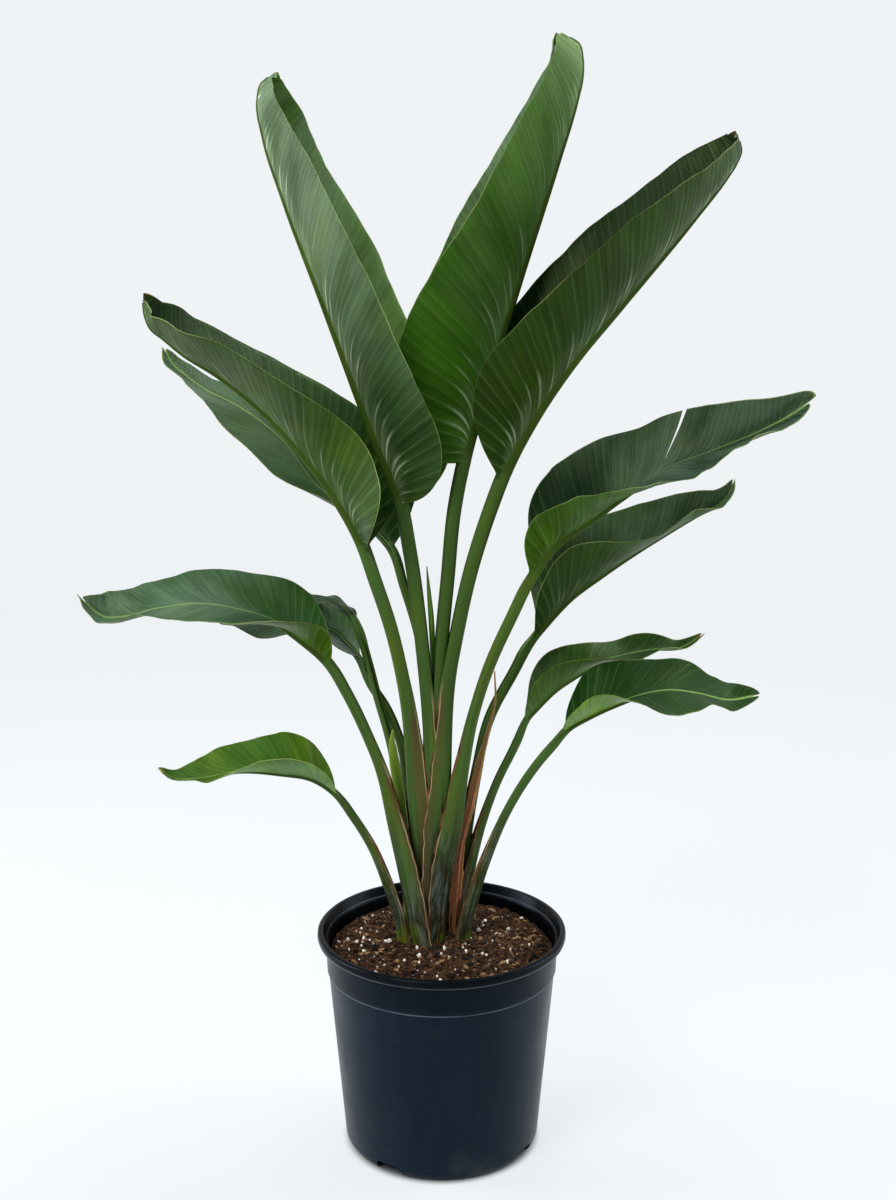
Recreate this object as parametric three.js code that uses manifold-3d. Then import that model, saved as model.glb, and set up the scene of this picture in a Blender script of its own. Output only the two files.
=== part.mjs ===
// A bird of paradise plant in a round plastic nursery pot.
// Millimetres, +Z up. The origin is the middle of the pot's flat base, and the plant's fan of leaves
// spreads along X, with its front towards -Y.
import * as THREE from "three";
import * as BufferGeometryUtils from "three/addons/utils/BufferGeometryUtils.js";
import { ConvexGeometry } from "three/addons/geometries/ConvexGeometry.js";
import Module from "manifold-3d";

const wasm = await Module();
wasm.setup();

// Pot
const POT_HEIGHT = 246;
const RIM_RADIUS = 134;
const RIM_DEPTH = 10;
const RIM_INNER_RADIUS = 127;
const COLLAR_RADIUS = 125;
const STEP_HEIGHT = 202;
const STEP_RADIUS = 123.8;
const WALL_TOP_RADIUS = 122.2;
const WALL_FOOT_RADIUS = 106;
const FOOT_ROUND = 12;
const POT_WALL = 2.5;
const POT_FLOOR = 3;
const FLOOR_PAD_RADIUS = 70;
const FLOOR_PAD_SLOPE = 6;
const CHANNEL_HEIGHT = 15;
const FOOT_RING_WIDTH = 4;
const FOOT_RING_HEIGHT = 2.5;
const POT_SEGMENTS = 48;
const NOTCH_COUNT = 4;
const NOTCH_FIRST_ANGLE = -123;
const NOTCH_WIDTH = 35;
const NOTCH_HEIGHT = 13;
const NOTCH_REACH = 30;

// Soil
const SOIL_HEIGHT = 225;
const SOIL_MOUND = 4;
const SOIL_RELIEF = 3;
const SOIL_RINGS = 8;
const SOIL_SECTORS = 6;
const SOIL_SEED = 7;
const FOOT_DEPTH_HEIGHT = 195;

// The gap that is kept between neighbouring pieces
const GAP = 0.35;

// Blade sections: steps from the rib to the edge, half thickness at the rib and at the edge
const WING_STEPS = 3;
const BLADE_HALF_THICKNESS = 0.5;
const STUB_WIDTH = 3;
const STUB_FOLD = 95;
const RIB_TIP_RADIUS = 1;
const BLADE_SWEEP = 0.4;
const STALK_STEPS = 6;
const BLADE_STATIONS = [0, 0.02, 0.07, 0.15, 0.26, 0.38, 0.5, 0.62, 0.74, 0.85, 0.94, 1];
const FOLD_BLEND = 40;
const RIPPLE_HEIGHT = 3;
const RIPPLE_WAVES = 2.6;
const TEAR_MOUTH = 1.15;
const TEAR_REACH = 12;

// How far the wings of a stalk's sheath fold up, and how much they curl in, in degrees
const SHEATH_FOLD = 55;
const SHEATH_CURL = 80;

// Colours and surface roughness
const YOUNG_COLOR = 0x6b8f45;
const DRY_COLOR = 0x8a6a45;
const SOIL_COLOR = 0x2b1d14;
const POT_COLOR = 0x1d252c;
const LEAF_ROUGHNESS = 0.45;
const DRY_ROUGHNESS = 0.85;
const POT_ROUGHNESS = 0.4;

// One entry for each leaf, the outermost of the fan first.
// foot: where it stands, x and y; heading: the way it leans, in degrees round +Z from +X.
// spine: the middle of its rib, as distance outward and height; bladeFrom: the spine point where
// the blade starts. sheathTop: how far along the spine the sheath's wings reach.
// shoulder: how slowly the blade widens at its foot; blunt: how pointed its tip is, least for a round one.
// foldNear, foldFar: how far each half of the blade folds up, in degrees, from its foot to its tip.
const LEAVES = [
  {
    name: "leaf_low_left",
    color: 0x4c7a2c,
    foot: [-40, 8],
    heading: 190,
    spine: [
      [0, 195], [8, 256], [19, 291], [37, 340], [56, 374], [75, 402], [97, 418], [131, 426],
      [173, 431], [215, 426], [245, 429], [253, 435],
    ],
    bladeFrom: 5,
    stalkRadius: 4,
    footRadius: 5,
    sheathTop: 190,
    sheathWidth: 8,
    halfWidth: 52,
    widest: 0.29,
    taper: 1,
    shoulder: 0.75,
    blunt: 0.83,
    foldNear: [10, 39, 22, 12, 11],
    foldFar: [22, 36, 30, 37, 42],
    curl: [15, 13],
    horns: [6, 6],
    ripple: [0.1, 0.6],
    lobe: 0,
  },
  {
    name: "leaf_low_right",
    color: 0x3f6b30,
    foot: [22, 10],
    heading: -10,
    spine: [
      [0, 195], [7, 248], [13, 273], [29, 327], [49, 378], [86, 440], [97, 454], [111, 473],
      [135, 489], [164, 504], [187, 514], [217, 521], [246, 519], [278, 514], [300, 519],
    ],
    bladeFrom: 7,
    stalkRadius: 4.2,
    footRadius: 5.2,
    sheathTop: 190,
    sheathWidth: 10,
    halfWidth: 56,
    widest: 0.19,
    taper: 2.3,
    shoulder: 0.75,
    blunt: 0.84,
    foldNear: [16, 30, -13, -1, -19],
    foldFar: [25, 37, 21, 19, 49],
    curl: [14, 14],
    horns: [7, 8],
    ripple: [0.3, 0.8],
    lobe: 0,
  },
  {
    name: "leaf_long_left",
    color: 0x46694a,
    foot: [-22, 5],
    heading: 182,
    spine: [
      [0, 195], [13, 273], [30, 360], [44, 428], [58, 466], [78, 510], [97, 543], [123, 567],
      [149, 586], [186, 599], [226, 606], [269, 602], [310, 593], [324, 593], [335, 599], [344, 609],
    ],
    bladeFrom: 6,
    stalkRadius: 5.4,
    footRadius: 5.5,
    sheathTop: 278,
    sheathWidth: 20,
    halfWidth: 56,
    widest: 0.26,
    taper: 3.1,
    shoulder: 1.05,
    blunt: 0.83,
    foldNear: [88, 13, -4, 11, 2],
    foldFar: [47, 38, 24, 29, 78],
    curl: [35, 12],
    horns: [12, 6],
    ripple: [0.5, 0],
    lobe: 0,
  },
  {
    name: "leaf_torn_right",
    color: 0x30532f,
    foot: [-6, 8],
    heading: -5,
    spine: [
      [0, 195], [11, 295], [23, 362], [30, 425], [39, 479], [55, 534], [80, 593], [102, 639],
      [128, 673], [152, 690], [188, 718], [216, 738], [235, 750], [277, 767], [332, 792],
      [359, 808], [367, 814],
    ],
    bladeFrom: 7,
    stalkRadius: 5.8,
    footRadius: 5.5,
    sheathTop: 314,
    sheathWidth: 24,
    halfWidth: 66,
    widest: 0.25,
    taper: 1.2,
    shoulder: 1.1,
    blunt: 0.56,
    foldNear: [64, 34, -7, 1, -19],
    foldFar: [28, 88, 51, 87, 73],
    curl: [27, 8],
    horns: [6, 16],
    ripple: [0.2, 0.7],
    lobe: 0,
    tear: { side: 1, root: [0.527, 0.07], lips: [0.604, 0.616] },
  },
  {
    name: "leaf_upper_left_front",
    color: 0x425a33,
    foot: [-19, 11],
    heading: 184,
    spine: [
      [0, 195], [5, 309], [11, 393], [19, 506], [33, 575], [52, 636], [61, 664], [87, 714],
      [121, 761], [160, 805], [206, 843], [239, 864], [258, 880], [269, 889], [275, 904], [276, 915],
    ],
    bladeFrom: 6,
    stalkRadius: 7,
    footRadius: 5.5,
    sheathTop: 346,
    sheathWidth: 25,
    halfWidth: 91,
    widest: 0.17,
    taper: 2.7,
    shoulder: 1.1,
    blunt: 0.8,
    foldNear: [7, 40, 29, 27, 27],
    foldFar: [72, 52, 26, 30, 60],
    curl: [13, 13],
    horns: [3, 9],
    ripple: [0.6, 0.1],
    lobe: 0,
  },
  {
    name: "leaf_upright_right",
    color: 0x2f5226,
    foot: [-6, 8],
    heading: 2,
    spine: [
      [0, 195], [4, 308], [9, 388], [16, 537], [21, 565], [37, 640], [60, 713], [69, 737],
      [102, 800], [141, 856], [183, 906], [259, 997], [289, 1036], [297, 1049], [301, 1061],
      [299, 1070],
    ],
    bladeFrom: 7,
    stalkRadius: 7.5,
    footRadius: 5,
    sheathTop: 371,
    sheathWidth: 24,
    sheathFold: 65,
    sheathCurl: 70,
    halfWidth: 88,
    widest: 0.24,
    taper: 3.4,
    shoulder: 1.1,
    blunt: 0.78,
    foldNear: [82, 59, 47, 35, 31],
    foldFar: [74, 60, 55, 44, 61],
    curl: [25, 12],
    horns: [7, 10],
    ripple: [0.6, 0.1],
    lobe: 0,
  },
  {
    name: "leaf_upright_left",
    color: 0x4a6e40,
    foot: [-13, 8],
    heading: 177,
    spine: [
      [0, 195], [-1, 331], [2, 499], [7, 556], [20, 661], [29, 710], [56, 782], [104, 911],
      [143, 1015], [161, 1072], [166, 1109], [162, 1124], [155, 1130],
    ],
    bladeFrom: 5,
    stalkRadius: 7.2,
    footRadius: 4.5,
    sheathTop: 361,
    sheathWidth: 14,
    sheathFold: 75,
    sheathCurl: 50,
    halfWidth: 95,
    widest: 0.25,
    taper: 2.7,
    shoulder: 0.53,
    blunt: 0.79,
    foldNear: [65, 43, 39, 37, 41],
    foldFar: [81, 47, 40, 38, 79],
    curl: [16, 13],
    horns: [9, 10],
    ripple: [0.35, 0.85],
    lobe: 0.06,
  },
  {
    name: "leaf_upright_centre",
    color: 0x3d6a1e,
    foot: [-8, 9],
    heading: 10,
    spine: [
      [0, 195], [1, 331], [3, 444], [10, 575], [15, 627], [23, 707], [32, 752], [55, 832],
      [87, 933], [126, 1050], [144, 1108], [149, 1131], [149, 1147], [145, 1162], [136, 1168],
    ],
    bladeFrom: 6,
    stalkRadius: 7,
    footRadius: 4,
    sheathTop: 326,
    sheathWidth: 12,
    sheathFold: 75,
    sheathCurl: 50,
    halfWidth: 97,
    widest: 0.23,
    taper: 1.7,
    shoulder: 0.58,
    blunt: 0.4,
    foldNear: [96, 87, 56, 49, 46],
    foldFar: [90, 54, 36, 28, 28],
    curl: [13, 15],
    horns: [10, 7],
    ripple: [0.75, 0.25],
    lobe: 0.4,
  },
  {
    name: "leaf_small_right",
    color: 0x49692f,
    foot: [18, 34],
    heading: 8,
    spine: [
      [0, 195], [14, 294], [27, 350], [42, 394], [66, 445], [75, 468], [85, 479], [105, 498],
      [130, 514], [153, 527], [186, 535], [213, 539], [243, 540], [253, 545], [263, 552],
    ],
    bladeFrom: 5,
    stalkRadius: 3.8,
    footRadius: 5,
    sheathTop: 204,
    sheathWidth: 10,
    halfWidth: 39,
    widest: 0.26,
    taper: 1,
    shoulder: 0.8,
    blunt: 0.83,
    foldNear: [42, 57, 8, 11, 0],
    foldFar: [5, 49, 24, 49, 49],
    curl: [14, 15],
    horns: [5, 3],
    ripple: [0.15, 0.5],
    lobe: 0,
  },
  {
    name: "leaf_second_right",
    color: 0x35543a,
    foot: [16, 38],
    heading: 12,
    spine: [
      [0, 195], [11, 324], [21, 393], [38, 470], [62, 515], [87, 558], [96, 568], [124, 596],
      [158, 619], [197, 643], [231, 662], [267, 681], [287, 690], [301, 706], [303, 713],
    ],
    bladeFrom: 5,
    stalkRadius: 5,
    footRadius: 5,
    sheathTop: 248,
    sheathWidth: 14,
    halfWidth: 68,
    widest: 0.26,
    taper: 1,
    shoulder: 1.05,
    blunt: 0.79,
    foldNear: [50, 58, 28, 24, 6],
    foldFar: [-15, 64, 46, 63, 73],
    curl: [18, 9],
    horns: [6, 4],
    ripple: [0.4, 0.9],
    lobe: 0,
  },
  {
    name: "leaf_middle_left_back",
    color: 0x3c6040,
    foot: [-31, 60],
    heading: 163,
    spine: [
      [0, 195], [4, 310], [7, 374], [17, 439], [31, 471], [49, 497], [64, 529], [76, 541],
      [88, 552], [99, 556], [141, 567], [188, 564], [231, 553],
    ],
    bladeFrom: 6,
    stalkRadius: 4.2,
    footRadius: 4.5,
    sheathTop: 203,
    sheathWidth: 10,
    halfWidth: 56,
    widest: 0.34,
    taper: 1.8,
    shoulder: 0.7,
    blunt: 0.9,
    foldNear: [14, 4, -16, 0, 20],
    foldFar: [-20, 12, 3, 8, 22],
    curl: [15, 14],
    horns: [6, 6],
    ripple: [0.65, 0.15],
    lobe: 0.2,
  },
  {
    name: "leaf_upper_left_back",
    color: 0x567a50,
    foot: [-20, 75],
    heading: 160,
    spine: [
      [0, 195], [-2, 364], [-3, 479], [5, 546], [23, 605], [38, 646], [53, 661], [84, 682],
      [120, 706], [165, 757], [212, 788], [258, 808], [278, 821], [293, 833], [300, 845],
    ],
    bladeFrom: 5,
    stalkRadius: 4.2,
    footRadius: 5,
    sheathTop: 180,
    sheathWidth: 12,
    halfWidth: 86,
    widest: 0.15,
    taper: 1.7,
    shoulder: 1,
    blunt: 0.85,
    foldNear: [20, 17, -7, 13, -1],
    foldFar: [43, 65, 30, 3, 25],
    curl: [14, 13],
    horns: [6, 3],
    ripple: [0, 0.45],
    lobe: 0,
  },
  {
    name: "leaf_hidden_left",
    color: 0x2c4a2a,
    foot: [-36, 37],
    heading: 140,
    spine: [
      [0, 195], [8, 323], [16, 385], [25, 431], [46, 488], [57, 520], [67, 545], [80, 568],
      [93, 578], [112, 583], [135, 583], [159, 581], [186, 580],
    ],
    bladeFrom: 7,
    stalkRadius: 3.8,
    footRadius: 4.5,
    sheathTop: 284,
    sheathWidth: 10,
    halfWidth: 16,
    widest: 0.3,
    taper: 2,
    shoulder: 0.7,
    blunt: 0.9,
    foldNear: [10, 0, -4, -4, 0],
    foldFar: [-8, -18, -14, -10, 0],
    curl: [15, 15],
    horns: [6, 6],
    ripple: [0.8, 0.3],
    lobe: 0,
  },
];

// The youngest leaf, still rolled up between the upright stalks
const ROLLED_LEAF = {
  path: [
    [-9, 30, 195], [-8, 26, 380], [-8, 22, 500], [-9, 18, 545], [-10, 12, 580], [-13, 9, 620],
    [-15, 9, 644],
  ],
  radii: [3, 3, 3, 2.6, 3.1, 2, 0.6],
  steps: 12,
  sides: 8,
};

// The dry sheath of a dead leaf, which ends in a thread, and the short green sheath of a young one
const DRY_SHEATH = {
  path: [
    [12, 25, 195], [16, 24, 290], [20, 24, 325], [33, 24, 386], [39, 24, 416], [48, 24, 454],
    [57, 24, 494], [56, 24, 527],
  ],
  halfWidths: [7, 7, 5.5, 5, 4.5, 2.2, 1.2, 0.8],
  halfThickness: 0.5,
  curl: 60,
  steps: 14,
  pieces: 4,
};
const GREEN_SHEATH = {
  path: [
    [-34, 22, 195], [-36, 24, 264], [-40, 26, 323], [-44, 28, 369], [-48, 29, 403], [-51, 29, 424],
    [-52, 29, 437], [-53, 29, 448], [-52, 29, 460],
  ],
  halfWidths: [5, 6, 6.5, 7, 6.5, 6, 5, 3, 0.8],
  halfThickness: 0.5,
  curl: 60,
  steps: 12,
  pieces: 4,
};

function clamp01(x) {
  return Math.min(Math.max(x, 0), 1);
}

function smoothstep(x) {
  const t = clamp01(x);
  return t * t * (3 - 2 * t);
}

function radians(degrees) {
  return (degrees * Math.PI) / 180;
}

// Smooth curve through the points (xs, ys), with slopes from each point's neighbours.
function smoothCurve(xs, ys) {
  const last = xs.length - 1;
  const step = xs.slice(1).map((x, i) => x - xs[i]);
  const slope = step.map((h, i) => (ys[i + 1] - ys[i]) / h);
  const tangent = xs.map((_, i) => {
    if (i === 0) return slope[0];
    if (i === last) return slope[last - 1];
    return (slope[i - 1] * step[i] + slope[i] * step[i - 1]) / (step[i - 1] + step[i]);
  });
  return (x) => {
    let k = 0;
    while (k < last - 1 && x > xs[k + 1]) k += 1;
    const t = (x - xs[k]) / step[k];
    const rise = 2 * t ** 3 - 3 * t ** 2;
    const start = (rise + 1) * ys[k] - rise * ys[k + 1];
    const bend = (t ** 3 - 2 * t ** 2 + t) * tangent[k] + (t ** 3 - t ** 2) * tangent[k + 1];
    return start + bend * step[k];
  };
}

function evenCurve(values) {
  return smoothCurve(values.map((_, i) => i / (values.length - 1)), values);
}

// The rib's path: distances along it, and a frame at each distance. The near side faces -Y, and up is
// the upper face of the leaf.
function makeSpine(leaf) {
  const along = [0];
  for (let i = 1; i < leaf.spine.length; i += 1) {
    const [r0, z0] = leaf.spine[i - 1];
    const [r1, z1] = leaf.spine[i];
    along.push(along[i - 1] + Math.hypot(r1 - r0, z1 - z0));
  }
  const out = smoothCurve(along, leaf.spine.map((p) => p[0]));
  const height = smoothCurve(along, leaf.spine.map((p) => p[1]));
  const length = along[along.length - 1];
  const heading = radians(leaf.heading);
  const outward = new THREE.Vector3(Math.cos(heading), Math.sin(heading), 0);
  const near = new THREE.Vector3(-Math.sin(heading), Math.cos(heading), 0);
  if (near.y > 0) near.negate();
  const frameAt = (d) => {
    const lo = Math.max(d - 0.5, 0);
    const hi = Math.min(d + 0.5, length);
    const dr = out(hi) - out(lo);
    const dz = height(hi) - height(lo);
    const size = Math.hypot(dr, dz);
    const forward = outward.clone().multiplyScalar(dr / size).setZ(dz / size);
    const up = outward.clone().multiplyScalar(-dz / size).setZ(dr / size);
    const point = outward.clone().multiplyScalar(out(d)).setZ(height(d));
    point.x += leaf.foot[0];
    point.y += leaf.foot[1];
    return { point, forward, up, near };
  };
  return { frameAt, length, bladeStart: along[leaf.bladeFrom] };
}

function ribRadius(leaf, spine, d) {
  if (d < spine.bladeStart) {
    const grown = smoothstep(d / spine.bladeStart / 0.7);
    return leaf.footRadius + (leaf.stalkRadius - leaf.footRadius) * grown;
  }
  const s = (d - spine.bladeStart) / (spine.length - spine.bladeStart);
  return RIB_TIP_RADIUS + (leaf.stalkRadius - RIB_TIP_RADIUS) * (1 - clamp01(s)) ** 1.1;
}

// The width of one half of the blade.
function bladeWidth(leaf, s) {
  const toWidest = clamp01(s / leaf.widest);
  const pastWidest = clamp01((s - leaf.widest) / (1 - leaf.widest));
  const rise = Math.max(1 - (1 - toWidest) ** 2, 0) ** leaf.shoulder;
  const fall = Math.max(1 - pastWidest ** leaf.taper, 0) ** leaf.blunt;
  const stub = STUB_WIDTH * (1 - 0.6 * s);
  return stub + (leaf.halfWidth - STUB_WIDTH) * Math.min(rise, fall);
}

// One side's wing at distance d: its width, fold, curl and how far its edge runs ahead of the rib.
function wingAt(leaf, spine, d, side) {
  const fold = side === 0 ? leaf.foldNear : leaf.foldFar;
  const s = (d - spine.bladeStart) / (spine.length - spine.bladeStart);
  if (s < 0) {
    const sheath = smoothstep((leaf.sheathTop - d) / (0.75 * leaf.sheathTop));
    const toBlade = smoothstep(1 + (d - spine.bladeStart) / FOLD_BLEND);
    const sheathFold = leaf.sheathFold ?? SHEATH_FOLD;
    const sheathCurl = leaf.sheathCurl ?? SHEATH_CURL;
    const stalkFold = STUB_FOLD + (sheathFold - STUB_FOLD) * sheath;
    return {
      width: STUB_WIDTH + (leaf.sheathWidth - STUB_WIDTH) * sheath,
      fold: radians(stalkFold + (fold[0] - stalkFold) * toBlade),
      curl: radians(sheathCurl * sheath * (1 - toBlade) + leaf.curl[side] * toBlade),
      ahead: 0,
      ripple: 0,
    };
  }
  const width = bladeWidth(leaf, s);
  let ahead = width * BLADE_SWEEP * smoothstep(s / 0.7);
  ahead += leaf.horns[side] * smoothstep((s - 0.88) / 0.12);
  ahead -= width * leaf.lobe * clamp01(1 - s / 0.3) ** 2;
  const wave = Math.sin(2 * Math.PI * (RIPPLE_WAVES * s + leaf.ripple[side]));
  const ripple = RIPPLE_HEIGHT * wave * smoothstep(s / 0.2) * smoothstep((1 - s) / 0.2);
  return { width, fold: radians(evenCurve(fold)(s)), curl: radians(leaf.curl[side]), ahead, ripple };
}

// The middle of the wing from the rib outward, with its upward normal, in the section's own
// sideways and up directions.
function wingPoint(wing, radius, t) {
  const pieces = 12;
  let across = 0;
  let up = 0;
  for (let i = 0; i < pieces; i += 1) {
    const angle = wing.fold + wing.curl * (((i + 0.5) / pieces) * t - 0.5);
    across += (Math.cos(angle) * t) / pieces;
    up += (Math.sin(angle) * t) / pieces;
  }
  const angle = wing.fold + wing.curl * (t - 0.5);
  const lift = wing.ripple * t ** 2;
  return {
    across: 0.8 * radius + wing.width * across - lift * Math.sin(angle),
    up: 0.38 * radius + wing.width * up + lift * Math.cos(angle),
    normalAcross: -Math.sin(angle),
    normalUp: Math.cos(angle),
    ahead: t * wing.ahead,
  };
}

// The closed outline of the leaf at distance d: over the top from the near edge to the far edge,
// then back below, round the rib.
function sectionAt(leaf, spine, d, grow) {
  const frame = spine.frameAt(d);
  const rib = ribRadius(leaf, spine, d);
  const radius = rib + grow;
  const place = (side, across, up, ahead) => {
    const sign = side === 0 ? 1 : -1;
    return frame.point
      .clone()
      .addScaledVector(frame.near, sign * across)
      .addScaledVector(frame.up, up)
      .addScaledVector(frame.forward, ahead);
  };
  const wingFace = (side, face) => {
    const wing = wingAt(leaf, spine, d, side);
    wing.width += grow;
    const points = [];
    for (let j = 0; j <= WING_STEPS; j += 1) {
      const t = j / WING_STEPS;
      const root = Math.max(0.25 * rib, BLADE_HALF_THICKNESS);
      const half = grow + BLADE_HALF_THICKNESS + (root - BLADE_HALF_THICKNESS) * (1 - smoothstep(2 * t));
      const p = wingPoint(wing, rib, t);
      const across = p.across + face * half * p.normalAcross;
      points.push(place(side, across, p.up + face * half * p.normalUp, p.ahead));
    }
    return points;
  };
  return [
    ...wingFace(0, 1).reverse(),
    place(0, 0, 0.25 * rib + grow, 0),
    ...wingFace(1, 1),
    ...wingFace(1, -1).reverse(),
    place(1, 0.75 * radius, -0.66 * radius, 0),
    place(0, 0, -radius, 0),
    place(0, 0.75 * radius, -0.66 * radius, 0),
    ...wingFace(0, -1),
  ];
}

// Joins the outlines into a closed solid. Each quarter of a wing is split the same way on its upper
// and its lower face, so that the two faces stay apart where the blade is bent.
function loft(sections) {
  const count = sections[0].length;
  const positions = sections.flat().flatMap((p) => [p.x, p.y, p.z]);
  const triangles = [];
  const innerFirst = (k) => (k > WING_STEPS && k < 2 * WING_STEPS + 3) || k >= 3 * WING_STEPS + 7;
  for (let i = 0; i + 1 < sections.length; i += 1) {
    for (let k = 0; k < count; k += 1) {
      const a = i * count + k;
      const b = i * count + ((k + 1) % count);
      const c = b + count;
      const d = a + count;
      if (innerFirst(k)) triangles.push([a, b, c], [a, c, d]);
      else triangles.push([a, b, d], [b, c, d]);
    }
  }
  const capRows = [0, (sections.length - 1) * count];
  capRows.forEach((start, end) => {
    const tips = [];
    const lowerTip = count - 1;
    for (let j = 0; j < WING_STEPS; j += 1) {
      tips.push([j, j + 1, lowerTip - j], [j + 1, lowerTip - j - 1, lowerTip - j]);
      const u = 2 * WING_STEPS + 2 - j;
      const v = 2 * WING_STEPS + 3 + j;
      tips.push([u, v, u - 1], [u - 1, v, v + 1]);
    }
    const middle = WING_STEPS + 1;
    const ring = [middle + 1];
    for (let k = 3 * WING_STEPS + 3; k <= 3 * WING_STEPS + 7; k += 1) ring.push(k);
    ring.push(WING_STEPS);
    for (let k = 0; k + 1 < ring.length; k += 1) tips.push([middle, ring[k], ring[k + 1]]);
    tips.forEach(([a, b, c]) => {
      const face = [start + a, start + b, start + c];
      triangles.push(end === 0 ? face.reverse() : face);
    });
  });
  const geometry = new THREE.BufferGeometry();
  geometry.setAttribute("position", new THREE.Float32BufferAttribute(positions, 3));
  geometry.setIndex(triangles.flat());
  return outwardFacing(geometry);
}

function signedVolume(geometry) {
  const position = geometry.getAttribute("position");
  const index = geometry.getIndex().array;
  const [a, b, c] = [new THREE.Vector3(), new THREE.Vector3(), new THREE.Vector3()];
  let volume = 0;
  for (let i = 0; i < index.length; i += 3) {
    a.fromBufferAttribute(position, index[i]);
    b.fromBufferAttribute(position, index[i + 1]);
    c.fromBufferAttribute(position, index[i + 2]);
    volume += a.dot(b.cross(c)) / 6;
  }
  return volume;
}

function outwardFacing(geometry) {
  if (signedVolume(geometry) > 0) return geometry;
  const index = Array.from(geometry.getIndex().array);
  for (let i = 0; i < index.length; i += 3) [index[i], index[i + 1]] = [index[i + 1], index[i]];
  geometry.setIndex(index);
  return geometry;
}

function toSolid(geometry) {
  const bare = geometry.clone();
  bare.deleteAttribute("normal");
  bare.deleteAttribute("uv");
  const merged = BufferGeometryUtils.mergeVertices(bare, 1e-4);
  const mesh = new wasm.Mesh({
    numProp: 3,
    vertProperties: new Float32Array(merged.getAttribute("position").array),
    triVerts: new Uint32Array(merged.getIndex().array),
  });
  return new wasm.Manifold(mesh);
}

// The largest body of a solid, as a geometry.
function toGeometry(solid) {
  const bodies = solid.decompose().sort((a, b) => b.volume() - a.volume());
  const mesh = bodies[0].getMesh();
  const geometry = new THREE.BufferGeometry();
  geometry.setAttribute("position", new THREE.Float32BufferAttribute(mesh.vertProperties, 3));
  geometry.setIndex(new THREE.BufferAttribute(mesh.triVerts, 1));
  return geometry;
}

function named(name, geometry, color, roughness) {
  const flat = geometry.index ? geometry.toNonIndexed() : geometry;
  flat.computeVertexNormals();
  const material = new THREE.MeshStandardMaterial({ color, roughness, metalness: 0 });
  const mesh = new THREE.Mesh(flat, material);
  mesh.name = name;
  return mesh;
}

function stalkDistances(spine) {
  return Array.from({ length: STALK_STEPS }, (_, i) => (spine.bladeStart * i) / STALK_STEPS);
}

function bladeDistances(spine) {
  return BLADE_STATIONS.map((s) => spine.bladeStart + s * (spine.length - spine.bladeStart));
}

function leafSolid(leaf) {
  const spine = makeSpine(leaf);
  const distances = [...stalkDistances(spine), ...bladeDistances(spine)];
  const whole = toSolid(loft(distances.map((d) => sectionAt(leaf, spine, d, 0))));
  return leaf.tear ? whole.subtract(tearSolid(leaf, spine)) : whole;
}

// A tear follows a vein: a wedge through the blade, from its root near the rib to lips past the edge.
function tearSolid(leaf, spine) {
  const { side, root, lips } = leaf.tear;
  const corners = [root, [lips[0], TEAR_MOUTH], [lips[1], TEAR_MOUTH]];
  const points = corners.flatMap(([s, t]) => {
    const d = spine.bladeStart + s * (spine.length - spine.bladeStart);
    const { point, near, up, forward } = spine.frameAt(d);
    const p = wingPoint(wingAt(leaf, spine, d, side), ribRadius(leaf, spine, d), t);
    const sign = side === 0 ? 1 : -1;
    return [-TEAR_REACH, TEAR_REACH].map((raised) => point
      .clone()
      .addScaledVector(near, sign * (p.across + raised * p.normalAcross))
      .addScaledVector(up, p.up + raised * p.normalUp)
      .addScaledVector(forward, p.ahead));
  });
  return toSolid(new ConvexGeometry(points));
}

// The room that a leaf's stalk takes, with the gap that its neighbours keep.
function stalkRoom(leaf) {
  const spine = makeSpine(leaf);
  const distances = [...stalkDistances(spine), spine.bladeStart];
  const sections = distances.map((d) => sectionAt(leaf, spine, d, GAP));
  const below = sections[0].map((p) => p.clone().setZ(p.z - GAP));
  return loft([below, ...sections.slice(1)]);
}

// A solid along a path of points, with the given outlines across it. Each outline goes along one face
// and back along the other.
function sweep(outlines, path) {
  const along = [0];
  for (let i = 1; i < path.length; i += 1) {
    along.push(along[i - 1] + new THREE.Vector3(...path[i]).distanceTo(new THREE.Vector3(...path[i - 1])));
  }
  const length = along[along.length - 1];
  const [x, y, z] = [0, 1, 2].map((axis) => smoothCurve(along, path.map((p) => p[axis])));
  const pointAt = (d) => new THREE.Vector3(x(d), y(d), z(d));
  const rings = outlines(along).map(({ at, outline }) => {
    const d = at * length;
    const forward = pointAt(Math.min(d + 1, length)).sub(pointAt(Math.max(d - 1, 0))).normalize();
    const back = new THREE.Vector3(0, 1, 0);
    const right = new THREE.Vector3().crossVectors(back, forward).normalize();
    back.crossVectors(forward, right);
    const centre = pointAt(d);
    return outline.map(([u, v]) => centre.clone().addScaledVector(right, u).addScaledVector(back, v));
  });
  const count = rings[0].length;
  const triangles = [];
  for (let i = 0; i + 1 < rings.length; i += 1) {
    for (let k = 0; k < count; k += 1) {
      const a = i * count + k;
      const b = i * count + ((k + 1) % count);
      triangles.push([a, b, b + count], [a, b + count, a + count]);
    }
  }
  const top = (rings.length - 1) * count;
  for (let k = 0; k + 1 < count / 2; k += 1) {
    const opposite = count - 1 - k;
    triangles.push([k, opposite, k + 1], [k + 1, opposite, opposite - 1]);
    triangles.push([top + k, top + k + 1, top + opposite]);
    triangles.push([top + k + 1, top + opposite - 1, top + opposite]);
  }
  const geometry = new THREE.BufferGeometry();
  const positions = rings.flat().flatMap((p) => p.toArray());
  geometry.setAttribute("position", new THREE.Float32BufferAttribute(positions, 3));
  geometry.setIndex(triangles.flat());
  return outwardFacing(geometry);
}

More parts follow.
